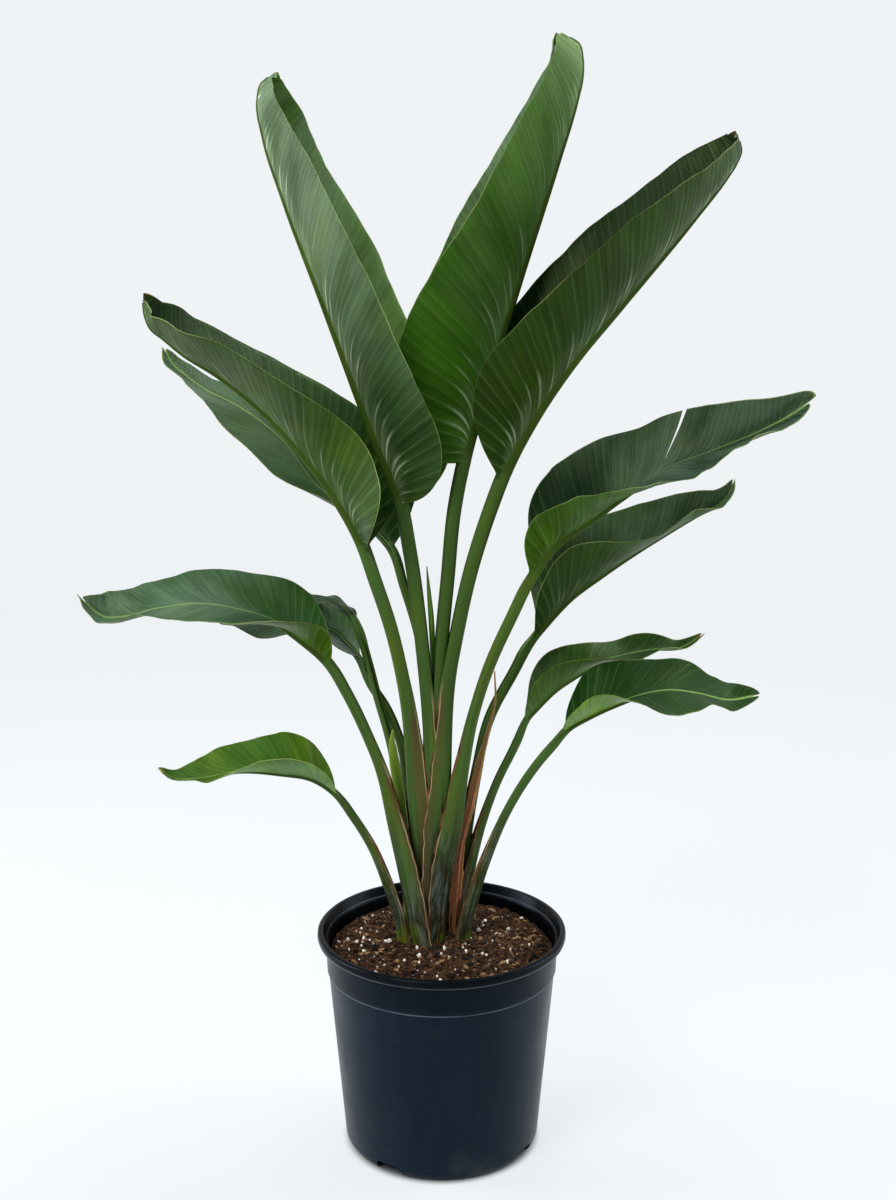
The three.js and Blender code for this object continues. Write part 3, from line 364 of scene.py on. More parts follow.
def smooth_curve(xs, ys):
    """A smooth curve through the points, with slopes from each point's neighbours."""
    xs = np.asarray(xs, float)
    ys = np.asarray(ys, float)
    step = np.diff(xs)
    slope = np.diff(ys) / step
    inner = (slope[:-1] * step[1:] + slope[1:] * step[:-1]) / (step[:-1] + step[1:])
    tangent = np.concatenate([slope[:1], inner, slope[-1:]])

    def at(x):
        k = np.clip(np.searchsorted(xs, x) - 1, 0, len(step) - 1)
        t = (x - xs[k]) / step[k]
        rise = 2 * t ** 3 - 3 * t ** 2
        start = (rise + 1) * ys[k] - rise * ys[k + 1]
        bend = (t ** 3 - 2 * t ** 2 + t) * tangent[k] + (t ** 3 - t ** 2) * tangent[k + 1]
        return start + bend * step[k]

    return at


def wobble(x, random, length):
    """A smooth uneven wave along x, within about -1 to 1, with bumps about length long."""
    total = 0
    for share, factor in ((0.5, 1), (0.3, 1.7), (0.2, 2.9)):
        total = total + share * np.sin(x * factor * math.pi / length + random.uniform(0, 2 * math.pi))
    return total


def ring_angles(sides):
    return np.linspace(0, 2 * math.pi, sides, endpoint=False)


def quads_between(index):
    """Quads between the rows of point numbers, each of which goes round once."""
    following = np.roll(index, -1, axis=1)
    return np.stack([index[:-1], following[:-1], following[1:], index[1:]], -1)


def ring_faces(rings, sides, start=0, poles=False):
    """Faces of a solid whose points come ring by ring, closed at each end by a pole or a flat cap."""
    first = start + int(poles)
    index = first + np.arange(rings * sides).reshape(rings, sides)
    faces = quads_between(index).reshape(-1, 4).tolist()
    if not poles:
        return faces + [index[0, ::-1].tolist(), index[-1].tolist()]
    for k in range(sides):
        following = (k + 1) % sides
        faces.append([start, int(index[0, following]), int(index[0, k])])
        faces.append([first + rings * sides, int(index[-1, k]), int(index[-1, following])])
    return faces


def add_object(name, data):
    piece = bpy.data.objects.new(name, data)
    bpy.context.scene.collection.objects.link(piece)
    return piece


def make_object(name, points, faces, material, smooth=True):
    """A mesh object from points in millimetres, standing at the origin, with its faces outward."""
    mesh = bpy.data.meshes.new(name)
    mesh.from_pydata((np.asarray(points) * MM).tolist(), [], faces)
    mesh.materials.append(material)
    mesh.polygons.foreach_set("use_smooth", [smooth] * len(mesh.polygons))
    mesh.validate()
    mesh.update()
    if sum(face.center.dot(face.normal) * face.area for face in mesh.polygons) < 0:
        mesh.flip_normals()
    return add_object(name, mesh)


def ring_solid(name, rings, material):
    """A solid from rings of points, of which the first and the last are a single point each."""
    points = np.concatenate([rings[0, :1], rings[1:-1].reshape(-1, 3), rings[-1, :1]])
    return make_object(name, points, ring_faces(len(rings) - 2, rings.shape[1], poles=True), material)


def set_values(piece, **values):
    """Numbers for each point of the piece, which its material reads by name."""
    for name, numbers in values.items():
        layer = piece.data.attributes.new(name, "FLOAT", "POINT")
        layer.data.foreach_set("value", np.asarray(numbers, np.float32).ravel())


def dress(piece, slot, *nodes):
    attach(piece, "root")
    if nodes:
        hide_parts(*nodes)


# Leaf shape


class Rib:
    """The line that a leaf is built along: its points, directions and radius at any distance."""

    def __init__(self, leaf):
        spine = np.array(leaf["spine"], float)
        along = distances(spine)
        self.leaf = leaf
        self.out = smooth_curve(along, spine[:, 0])
        self.height = smooth_curve(along, spine[:, 1])
        self.length = along[-1]
        self.blade_start = along[leaf["blade_from"]]
        self.blade_length = self.length - self.blade_start
        heading = math.radians(leaf["heading"])
        self.outward = np.array([math.cos(heading), math.sin(heading), 0])
        near = np.array([-math.sin(heading), math.cos(heading), 0])
        self.near = -near if near[1] > 0 else near

    def step(self, out, rise):
        return self.outward * out[..., None] + UP * rise[..., None]

    def frame(self, d):
        """The rib's points, and which way forward and up are there."""
        low = np.maximum(d - SLOPE_REACH, 0)
        high = np.minimum(d + SLOPE_REACH, self.length)
        dr = self.out(high) - self.out(low)
        dz = self.height(high) - self.height(low)
        size = np.hypot(dr, dz)
        point = self.step(self.out(d), self.height(d)) + np.array([*self.leaf["foot"], 0])
        return point, self.step(dr / size, dz / size), self.step(-dz / size, dr / size)

    def share(self, d):
        """How far along the blade, from 0 to 1, and less than 0 on the stalk."""
        return (d - self.blade_start) / self.blade_length

    def radius(self, d):
        foot = self.leaf["foot_radius"]
        full = self.leaf["stalk_radius"]
        stalk = foot + (full - foot) * smoothstep(d / self.blade_start / 0.7)
        thin = (1 - np.clip(self.share(d), 0, 1)) ** 1.1
        blade = RIB_TIP_RADIUS + (full - RIB_TIP_RADIUS) * thin
        return np.where(d < self.blade_start, stalk, blade)

    def values(self, d):
        """What the material needs to know about the distance alone."""
        share = self.share(d)
        top = self.leaf["sheath_top"]
        return dict(
            along=np.where(share < 0, d / self.blade_start - 1, share),
            sheath=smoothstep((top - d) / (0.75 * top)),
        )


def blade_width(leaf, s):
    to_widest = np.clip(s / leaf["widest"], 0, 1)
    past_widest = np.clip((s - leaf["widest"]) / (1 - leaf["widest"]), 0, 1)
    rise = np.maximum(1 - (1 - to_widest) ** 2, 0) ** leaf["shoulder"]
    fall = np.maximum(1 - past_widest ** leaf["taper"], 0) ** leaf["blunt"]
    return STUB_WIDTH * (1 - 0.6 * s) + (leaf["half_width"] - STUB_WIDTH) * np.minimum(rise, fall)


def half_form(rib, half, noise, d, t):
    """The width, fold, curl, reach ahead and waves of one half of a leaf at the distances d."""
    leaf = rib.leaf
    s = rib.share(d)
    in_blade = s >= 0
    s = np.clip(s, 0, 1)
    fold = leaf["fold"][half]
    curl = leaf["curl"][half]
    width = blade_width(leaf, s) * (1 + 0.01 * wobble(d, noise, 34) * smoothstep(s / 0.1))
    ahead = width * BLADE_SWEEP * smoothstep(s / 0.7)
    ahead = ahead + leaf["horns"][half] * smoothstep((s - 0.88) / 0.12)
    ahead = ahead - width * leaf["lobe"] * np.clip(1 - s / 0.3, 0, 1) ** 2
    ripple = np.sin(2 * math.pi * (RIPPLE_WAVES * s + leaf["ripple"][half]))
    lift = RIPPLE_HEIGHT * leaf["swell"] * ripple + leaf["wave"][half] * t * wobble(d, noise, 30)
    lift = lift * smoothstep(s / 0.2) * smoothstep((1 - s) / 0.2) * t ** 2
    blade_fold = smooth_curve(np.linspace(0, 1, len(fold)), fold)(s)

    sheath = rib.values(d)["sheath"]
    to_blade = smoothstep(1 + (d - rib.blade_start) / FOLD_BLEND)
    stalk_fold = STUB_FOLD + (leaf["sheath_fold"] - STUB_FOLD) * sheath
    stalk_fold = stalk_fold + (fold[0] - stalk_fold) * to_blade
    stalk_width = STUB_WIDTH + (leaf["sheath_width"] - STUB_WIDTH) * sheath
    stalk_width = stalk_width * (1 + 0.05 * sheath * wobble(d, noise, 16))
    stalk_width = stalk_width * (1 - leaf["tuck"] * smoothstep(1 - d / leaf["tuck_length"]))
    stalk_curl = leaf["sheath_curl"] * sheath * (1 - to_blade) + curl * to_blade
    return dict(
        width=np.where(in_blade, width, stalk_width),
        fold=np.radians(np.where(in_blade, blade_fold, stalk_fold)),
        curl=np.radians(np.where(in_blade, curl, stalk_curl)),
        ahead=np.where(in_blade, ahead, 0),
        lift=np.where(in_blade, lift, 0),
    )


def half_faces(rib, half, stations, t, random):
    """The upper face, the lower face and the edge of one half, and what its material needs to know."""
    leaf = rib.leaf
    d = stations["grid"][half]
    vein = stations["vein"][:, None] + 0 * d
    side = 1 if half == 0 else -1
    form = half_form(rib, half, np.random.default_rng(random.integers(1 << 30)), d, t[None, :])
    width = form["width"]
    radius = rib.radius(d)
    point, forward, up = rib.frame(d)
    mean = form["fold"] + form["curl"] * (t / 2 - 0.5)
    span = t * np.sinc(form["curl"] * t / 2 / math.pi)
    across = HALF_OUT * radius + width * span * np.cos(mean)
    rise = HALF_RISE * radius + width * span * np.sin(mean)
    angle = form["fold"] + form["curl"] * (t - 0.5)

    pleat_length = WIDE_PLEAT_LENGTH if leaf["half_width"] > WIDE_BLADE else PLEAT_LENGTH
    noise = np.random.default_rng(leaf["half_width"] + half)
    phase = 2 * math.pi * vein / pleat_length + 1.8 * wobble(vein, noise, 27)
    phase = phase + 0.6 * np.sin(phase)
    strength = 0.6 + 0.4 * wobble(vein, noise, 31)
    in_blade = smoothstep(rib.share(d) / 0.06) * smoothstep((1 - rib.share(d)) / 0.1)
    reach = smoothstep(t / 0.12) * (1 - 0.6 * smoothstep((t - 0.5) / 0.5))
    lift = form["lift"] + PLEAT_HEIGHT * np.sin(phase) * strength * reach * in_blade

    distance = width * t
    root = np.maximum(ROOT_HALF_THICKNESS * radius, BLADE_HALF_THICKNESS)
    thin = smoothstep(distance / (1.4 * radius))
    half_thickness = root + (BLADE_HALF_THICKNESS - root) * thin
    ahead = (form["ahead"] * t)[..., None] * forward

    def surface(turn):
        """The points that lie this far round from the upper face, 0, to the lower face, 180."""
        out = half_thickness * math.sin(math.radians(turn))
        offset = lift + half_thickness * math.cos(math.radians(turn))
        a = across + out * np.cos(angle) - offset * np.sin(angle)
        b = rise + out * np.sin(angle) + offset * np.cos(angle)
        return point + side * a[..., None] * rib.near + b[..., None] * up + ahead

    values = dict(
        **rib.values(d),
        across=t + 0 * d,
        vein=vein,
        pleat=np.sin(phase),
        edge=width * (1 - t),
        rib=np.where(d < rib.blade_start, 1, 1 - smoothstep(distance / (0.35 * radius + 1.2))),
        arc=HALF_OUT * radius + distance,
    )
    return surface(0), surface(180), [surface(turn)[:, -1] for turn in EDGE_TURNS], values


def vein_shares(rib, u, t):
    """Where the veins that leave the rib at the shares u are, at each share t of the width.

    A vein runs along the rib at first, then turns outward and forward."""
    lead = rib.leaf["lead"] * rib.leaf["half_width"] / rib.blade_length
    spread = smoothstep(u / 0.1) * smoothstep((1 - u) / 0.45)
    forward = VEIN_BEND * (1 - np.exp(-t / VEIN_TURN)) + (1 - VEIN_BEND) * t
    return np.clip(u[:, None] + lead * spread[:, None] * forward[None, :], 0, 1)


def vein_starts(rib):
    """Shares along the rib where the veins start, so that they are evenly close where they are farthest
    apart, which is at the rib or at the blade's edge, and closer at the tip."""
    u = np.linspace(0, 1, 2001)
    edge = vein_shares(rib, u, np.array([1.0]))[:, 0]
    pace = np.maximum(np.diff(u), np.diff(edge)) * np.where(u[1:] > 0.96, 4, 1)
    total = np.concatenate([[0], np.cumsum(pace)])
    count = int(total[-1] * rib.blade_length / BLADE_STEP)
    return np.interp(np.linspace(0, total[-1], count + 1), total, u)


def leaf_stations(rib, t):
    """Distances along the rib, and the distances of each half's points, which lie along the veins.

    Where a blade is torn, one vein is there twice, once for each side of the tear."""
    stalk = np.linspace(0, rib.blade_start, max(int(rib.blade_start / STALK_STEP), 8), endpoint=False)
    u = vein_starts(rib)
    shares = [vein_shares(rib, u, t)] * 2
    middle = shares[0][:, ACROSS_STEPS // 2]
    tear = rib.leaf["tear"]
    torn_row = None
    if tear:
        grid = shares[tear["half"]]
        first = int(np.argmin(np.abs(t - tear["from"])))
        row = int(np.argmin(np.abs(grid[:, first] - tear["left"][0])))
        opening = np.linspace(t[first], 1, len(tear["left"]))
        toward = np.minimum(t / t[first], 1)
        sides = []
        for side, rows in (("left", slice(None, row + 1)), ("right", slice(row, None))):
            shift = (smooth_curve(opening, tear[side])(np.maximum(t, t[first])) - grid[row]) * toward
            near = np.clip(1 - np.abs(u[rows] - u[row]) / TEAR_FALLOFF, 0, 1) ** 2
            sides.append(grid[rows] + near[:, None] * shift[None, :])
        doubled = np.r_[:row + 1, row:len(u)]
        shares = [own[doubled] for own in shares]
        shares[tear["half"]] = np.concatenate(sides)
        u = u[doubled]
        middle = middle[doubled]
        torn_row = (len(stalk) + row, first)
    on_stalk = stalk[:, None] + 0 * t[None, :]
    return dict(
        rib=np.concatenate([stalk, rib.blade_start + rib.blade_length * u]),
        grid=[np.concatenate([on_stalk, rib.blade_start + rib.blade_length * own]) for own in shares],
        vein=np.concatenate([stalk - rib.blade_start, rib.blade_length * (u + middle) / 2]),
        torn_row=torn_row,
    )


def leaf_columns(rib, stations, halves):
    """The columns of a leaf's mesh, in order round its section, each with what its material needs.

    Each also has an owner: the half, its face, where 2 is the edge, and the place there. On the rib the
    owner is None."""
    d = stations["rib"]
    radius = rib.radius(d)
    point, forward, up = rib.frame(d)
    on_rib = dict(**rib.values(d), across=0 * d, vein=stations["vein"], pleat=0 * d, edge=40 + 0 * d,
                  rib=1 + 0 * d)
    columns = []

    def add(owner, position, upper, values):
        columns.append((owner, position, dict(values, upper=upper + 0 * d)))

    def add_rib(a, b, arc, upper):
        add(None, point + a[:, None] * rib.near + b[:, None] * up, upper, dict(on_rib, arc=arc))

    def add_face(half, face, order):
        for j in order:
            values = {name: numbers[:, j] for name, numbers in halves[half][3].items()}
            add((half, face, j), halves[half][face][:, j], 1 - face, values)

    def add_edge(half, order):
        values = {name: numbers[:, -1] for name, numbers in halves[half][3].items()}
        for k in order:
            add((half, 2, k), halves[half][2][k], 1 - 0.5 * k, values)

    outward = range(ACROSS_STEPS + 1)
    add_face(0, 0, outward[::-1])
    channel = CHANNEL_RISE * radius
    for place in CHANNEL_PLACES:
        root = halves[0 if place < 0 else 1][0][:, 0] - point
        b = channel + place ** 2 * ((root * up).sum(1) - channel)
        add_rib(abs(place) * (root @ rib.near), b, abs(place) * HALF_OUT * radius, 1)
    add_face(1, 0, outward)
    add_edge(1, (0, 1, 2))
    add_face(1, 1, outward[::-1])
    for turn in RIB_TURNS:
        size = radius * 0.98
        angle = math.radians(turn)
        add_rib(-size * math.cos(angle), size * math.sin(angle), radius * abs(turn + 90) / 60, 0)
    add_face(0, 1, outward)
    add_edge(0, (2, 1, 0))
    return columns


def half_end(owners, half, first):
    """The faces that close a half between its upper and its lower face, from one column outward."""
    upper = [owners.index((half, 0, j)) for j in range(first, ACROSS_STEPS + 1)]
    lower = [owners.index((half, 1, j)) for j in range(first, ACROSS_STEPS + 1)]
    rounding = [owners.index((half, 2, k)) for k in range(3)]
    ends = [[upper[j], upper[j + 1], lower[j + 1], lower[j]] for j in range(len(upper) - 1)]
    ends.append([upper[-1], *rounding, lower[-1]])
    return ends if half == 0 else [face[::-1] for face in ends]


def leaf_piece(leaf, material, random):
    rib = Rib(leaf)
    t = (np.arange(ACROSS_STEPS + 1) / ACROSS_STEPS) ** ACROSS_POWER
    stations = leaf_stations(rib, t)
    halves = [half_faces(rib, half, stations, t, random) for half in (0, 1)]
    columns = leaf_columns(rib, stations, halves)
    owners = [owner for owner, position, values in columns]
    rows = len(stations["rib"])
    index = np.arange(rows * len(columns)).reshape(rows, len(columns))
    joined = np.ones(rows - 1, bool)
    ends = []
    if stations["torn_row"]:
        row, first = stations["torn_row"]
        half = leaf["tear"]["half"]
        joined[row] = False
        for column, owner in enumerate(owners):
            in_tear = owner and owner[0] == half and (owner[1] == 2 or owner[2] > first)
            if not in_tear:
                index[row + 1, column] = index[row, column]
        walls = half_end(owners, half, first)
        ends += [index[row, face[::-1]] for face in walls]
        ends += [index[row + 1, face] for face in walls]
    caps = half_end(owners, 0, 0) + half_end(owners, 1, 0)
    ring = [*range(owners.index((0, 0, 0)), owners.index((1, 0, 0)) + 1)]
    caps.append(ring + [*range(owners.index((1, 1, 0)), owners.index((0, 1, 0)) + 1)])
    ends += [index[0, face] for face in caps]
    ends += [index[-1, face[::-1]] for face in caps]

    kept = np.unique(index)
    number = np.zeros(index.size, int)
    number[kept] = np.arange(len(kept))
    quads = quads_between(index)[joined].reshape(-1, 4)
    faces = number[quads].tolist() + [number[face].tolist() for face in ends]
    points = np.stack([position for owner, position, values in columns], 1).reshape(-1, 3)[kept]
    piece = make_object("grown_" + leaf["node"], points, faces, material)
    for name in columns[0][2]:
        numbers = np.stack([values[name] for owner, position, values in columns], 1)
        set_values(piece, **{name: numbers.ravel()[kept]})
    return piece


# Small plant pieces


def path_frames(path, steps):
    """How far along a path its own points are, and then for even steps along it how far each is, where
    it is, and two directions across the path there."""
    path = np.array(path, float)
    along = distances(path)
    curves = [smooth_curve(along, path[:, axis]) for axis in range(3)]

    def place(d):
        return np.stack([curve(d) for curve in curves], 1)

    d = np.linspace(0, along[-1], steps + 1)
    forward = place(np.minimum(d + 1, along[-1])) - place(np.maximum(d - 1, 0))
    forward /= np.linalg.norm(forward, axis=1)[:, None]
    right = np.cross([0, 1, 0], forward)
    right /= np.linalg.norm(right, axis=1)[:, None]
    return along, d, place(d), right, np.cross(forward, right)


def swept_faces(rows, loop):
    """Faces round a swept section, whose ends are strips of quads between its first and second half."""
    index = np.arange(rows * loop).reshape(rows, loop)
    faces = quads_between(index).reshape(-1, 4).tolist()
    for row in (0, rows - 1):
        for k in range(loop // 2 - 1):
            face = index[row, [k, k + 1, loop - 2 - k, loop - 1 - k]].tolist()
            faces.append(face if row else face[::-1])
    return faces


def rolled_leaf(material):
    """A blade rolled into a pointed tube: the section is a spiral, whose step is the blade's edge."""
    steps, sides = 150, 28
    along, d, point, right, back = path_frames(ROLLED_PATH, steps)
    radius = smooth_curve(along, ROLLED_RADII)(d)[:, None]
    turn = ring_angles(sides)
    seam = 0.9 + d / 90
    around = (turn[None, :] - seam[:, None]) % (2 * math.pi)
    size = radius * (0.9 + 0.2 * around / (2 * math.pi))
    points = point[:, None] + (size * np.cos(turn))[..., None] * right[:, None]
    points = points + (size * np.sin(turn))[..., None] * back[:, None]
    piece = make_object("young_rolled_leaf", points.reshape(-1, 3), swept_faces(steps + 1, sides), material)
    set_values(
        piece,
        arc=radius * around,
        along=(d / along[-1])[:, None] + 0 * around,
        seam=np.minimum(around, 2 * math.pi - around) * radius,
    )
    return piece


def loose_sheath(name, path, widths, material, random, wear):
    """A thin sheath without a blade, curled lengthwise, creased and ragged according to its wear."""
    steps, pieces = 170, 14
    along, d, point, right, back = path_frames(path, steps)
    width = smooth_curve(along, widths)(d)
    left_edge = width * (1 + 0.14 * wear * wobble(d, random, 19))
    right_edge = width * (1 + 0.14 * wear * wobble(d, random, 13))
    curl = math.radians(SHEATH_CURVE) * (1 + 0.5 * wear * wobble(d, random, 70))
    t = np.linspace(-1, 1, pieces + 1)
    reach = np.where(t[None, :] < 0, left_edge[:, None], right_edge[:, None])
    angle = curl[:, None] * t
    bend = reach / curl[:, None]
    folds = np.sin(t * 9 + 2 * wobble(d, random, 120)[:, None])
    crease = 0.55 * wear * folds * np.minimum(width / 5, 1)[:, None]

    def face(side):
        radius = bend + side * SHEATH_HALF_THICKNESS + crease
        a = radius * np.sin(angle)
        b = bend - radius * np.cos(angle)
        return point[:, None] + a[..., None] * right[:, None] + b[..., None] * back[:, None]

    def both(values):
        return np.concatenate([values, values[:, ::-1]], 1)

    points = np.concatenate([face(1), face(-1)[:, ::-1]], 1)
    faces = swept_faces(*points.shape[:2])
    piece = make_object(name, points.reshape(-1, 3), faces, material)
    set_values(
        piece,
        arc=both(reach * t),
        along=both((d / along[-1])[:, None] + 0 * reach),
        edge=both(reach * (1 - np.abs(t))),
    )
    return piece


# Pot


def rounded_outline(corners):
    """Points along the corners, each given as (radius, height, rounding), with arcs in the corners."""
    line = []
    places = [np.array(corner[:2], float) for corner in corners]
    for i, (r, z, rounding) in enumerate(corners):
        if rounding == 0 or i in (0, len(corners) - 1):
            line.append((r, z))
            continue
        here = places[i]
        before = places[i - 1] - here
        after = places[i + 1] - here
        before /= np.linalg.norm(before)
        after /= np.linalg.norm(after)
        half = math.acos(np.clip(before @ after, -1, 1)) / 2
        cut = rounding / math.tan(half)
        centre = here + (before + after) / np.linalg.norm(before + after) * rounding / math.sin(half)
        start = here + before * cut - centre
        end = here + after * cut - centre
        first = math.atan2(start[1], start[0])
        sweep = (math.atan2(end[1], end[0]) - first + math.pi) % (2 * math.pi) - math.pi
        steps = max(3, int(abs(sweep) / ROUNDING_STEP))
        for k in range(steps + 1):
            a = first + sweep * k / steps
            line.append((centre[0] + rounding * math.cos(a), centre[1] + rounding * math.sin(a)))
    return line


def turned(name, outline, material):
    """A solid of revolution, from an outline that starts and ends on the pot's middle line."""
    r, z = np.array(outline)[:, :, None].swapaxes(0, 1)
    turn = ring_angles(POT_SEGMENTS)
    return ring_solid(name, np.stack([r * np.cos(turn), r * np.sin(turn), z + 0 * turn], -1), material)


def foot_arc(radius):
    """The wall's rounded foot, from its bottom outward."""
    middle = WALL_FOOT_RADIUS - FOOT_ROUND
    return [(middle + radius * math.sin(a), FOOT_ROUND - radius * math.cos(a))
            for a in np.linspace(0, math.pi / 2, FOOT_POINTS)]


def inner_wall(z):
    low = FOOT_ROUND + 2
    t = np.clip((z - low) / (STEP_FOOT - low), 0, 1)
    return WALL_FOOT_RADIUS + (WALL_TOP_RADIUS - WALL_FOOT_RADIUS) * t - POT_WALL


def floor_outline(gap):
    """The inside of the pot's floor, from the wall to the middle, or the soil's underside on it."""
    top = CHANNEL_HEIGHT + POT_FLOOR + gap
    return [
        (inner_wall(top) - gap, top),
        (FLOOR_PAD_RADIUS + FLOOR_PAD_SLOPE - POT_FLOOR - gap, top),
        (FLOOR_PAD_RADIUS - POT_FLOOR - gap, POT_FLOOR + gap),
        (0, POT_FLOOR + gap),
    ]


def pot_outline():
    """Round the pot's section, from the middle of its underside to the middle of its inner floor."""
    foot_inner = WALL_FOOT_RADIUS - FOOT_ROUND - FOOT_RING_WIDTH
    rim_low = POT_HEIGHT - RIM_DEPTH
    return rounded_outline([
        (0, 0, 0),
        (FLOOR_PAD_RADIUS, 0, 1),
        (FLOOR_PAD_RADIUS + FLOOR_PAD_SLOPE, CHANNEL_HEIGHT, 3),
        (WALL_FOOT_RADIUS - POT_WALL, CHANNEL_HEIGHT, 0),
        *((r, z, 0) for r, z in foot_arc(FOOT_ROUND - POT_WALL)[::-1]),
        (foot_inner, FOOT_RING_HEIGHT, 0),
        (foot_inner, 0, 0.4),
        *((r, z, 0) for r, z in foot_arc(FOOT_ROUND)),
        (WALL_TOP_RADIUS, STEP_HEIGHT - 2, 0.6),
        (STEP_RADIUS, STEP_HEIGHT, 0.7),
        (COLLAR_RADIUS, rim_low, 1.2),
        (RIM_RADIUS - 1.2, rim_low + 0.2, 0.9),
        (RIM_RADIUS, rim_low + 3.5, 1.5),
        (RIM_RADIUS - 0.3, POT_HEIGHT - 0.6, 2.4),
        (RIM_INNER_RADIUS + 1.2, POT_HEIGHT, 1.4),
        (RIM_INNER_RADIUS - 0.6, POT_HEIGHT - 4, 1.5),
        (COLLAR_RADIUS - POT_WALL, rim_low - 2, 1.5),
        (WALL_TOP_RADIUS - POT_WALL, STEP_FOOT, 1.5),
        *((r, z, 1.5 if r else 0) for r, z in floor_outline(0)),
    ])


def notch_cutter(angle, material):
    """A slot with slanted sides and a rounded top, through the foot of the pot's wall."""
    side = [(0, -NOTCH_BELOW), (NOTCH_SLANT, NOTCH_HEIGHT - NOTCH_ROUND), (2 * NOTCH_SLANT, NOTCH_HEIGHT)]
    side = [(y - NOTCH_WIDTH / 2, z) for y, z in side]
    outline = side + [(-y, z) for y, z in side[::-1]]
    turn = math.radians(angle)
    points = [(reach * math.cos(turn) - y * math.sin(turn), reach * math.sin(turn) + y * math.cos(turn), z)
              for reach in NOTCH_REACH for y, z in outline]
    return make_object("notch_cutter", points, ring_faces(2, len(outline)), material, smooth=False)


def pot_piece(material):
    pot = turned("plastic_pot", pot_outline(), material)
    bpy.context.view_layer.objects.active = pot
    for angle in NOTCH_ANGLES:
        cutter = notch_cutter(angle, material)
        cut = pot.modifiers.new("notch", "BOOLEAN")
        cut.operation = "DIFFERENCE"
        cut.solver = "EXACT"
        cut.object = cutter
        bpy.ops.object.modifier_apply(modifier=cut.name)
        bpy.data.objects.remove(cutter)
    pot.data.polygons.foreach_set("use_smooth", [True] * len(pot.data.polygons))
    pot.data.set_sharp_from_angle(angle=math.radians(SHARP_ANGLE))
    return pot


# Soil


def lumps(x, y, cell, random):
    """Smooth random heights over the ground, within 0 to 1, with lumps about a cell wide."""
    grid = random.random((LUMP_GRID, LUMP_GRID))
    u = (x / cell + LUMP_SHIFT) % LUMP_GRID
    v = (y / cell + LUMP_SHIFT) % LUMP_GRID
    i = np.floor(u).astype(int)
    j = np.floor(v).astype(int)
    a = smoothstep(u - i)
    b = smoothstep(v - j)
    i2 = (i + 1) % LUMP_GRID
    j2 = (j + 1) % LUMP_GRID
    low = grid[i, j] * (1 - a) + grid[i2, j] * a
    high = grid[i, j2] * (1 - a) + grid[i2, j2] * a
    return low * (1 - b) + high * b


def soil_height(x, y):
    random = np.random.default_rng(11)
    share = np.hypot(x, y) / SOIL_RADIUS
    z = SOIL_HEIGHT + SOIL_MOUND * (1 - share ** 2) - 1.5
    for cell, height in SOIL_LUMPS:
        z = z + height * (lumps(x, y, cell, random) - 0.5)
    return z


def soil_bed(material):
    """The uneven ground, and under it the wall and floor of the soil inside the pot."""
    turn = ring_angles(SOIL_SEGMENTS)
    share = np.linspace(0, 1, SOIL_RINGS + 1)[:, None]
    r = (SOIL_RING_SPREAD * np.sqrt(share) + (1 - SOIL_RING_SPREAD) * share) * SOIL_RADIUS
    x = r * np.cos(turn)
    y = r * np.sin(turn)
    rings = [np.stack([x, y, soil_height(x, y)], -1)]
    for radius, z in [(inner_wall(STEP_FOOT) - SOIL_GAP, STEP_FOOT), *floor_outline(SOIL_GAP)]:
        rings.append(np.stack([radius * np.cos(turn), radius * np.sin(turn), z + 0 * turn], 1)[None])
    return ring_solid("soil_bed", np.concatenate(rings), material)


def scattered(random, count, margin):
    """Places on the soil inside the pot's wall, evenly spread."""
    radius = (SOIL_RADIUS - margin) * np.sqrt(random.random(count))
    turn = random.uniform(0, 2 * math.pi, count)
    x = radius * np.cos(turn)
    y = radius * np.sin(turn)
    return x, y, soil_height(x, y)


def turned_axes(random, count, tilt):
    """Three directions for each of count pieces that lie about flat."""
    heading = random.uniform(0, 2 * math.pi, count)
    lean = random.normal(0, tilt, (count, 2))
    long = np.stack([np.cos(heading), np.sin(heading), lean[:, 0]], 1)
    long /= np.linalg.norm(long, axis=1)[:, None]
    side = np.stack([-np.sin(heading), np.cos(heading), lean[:, 1]], 1)
    side -= (side * long).sum(1)[:, None] * long
    side /= np.linalg.norm(side, axis=1)[:, None]
    return long, side, np.cross(long, side)


def many_rings(name, points, tint, material, smooth):
    """One object of many ring solids, from points by solid, ring and side, each solid with its tint."""
    count, rings, sides, _ = points.shape
    faces = []
    for n in range(count):
        faces += ring_faces(rings, sides, n * rings * sides)
    piece = make_object(name, points.reshape(-1, 3), faces, material, smooth)
    set_values(piece, tint=np.repeat(tint, rings * sides))
    return piece


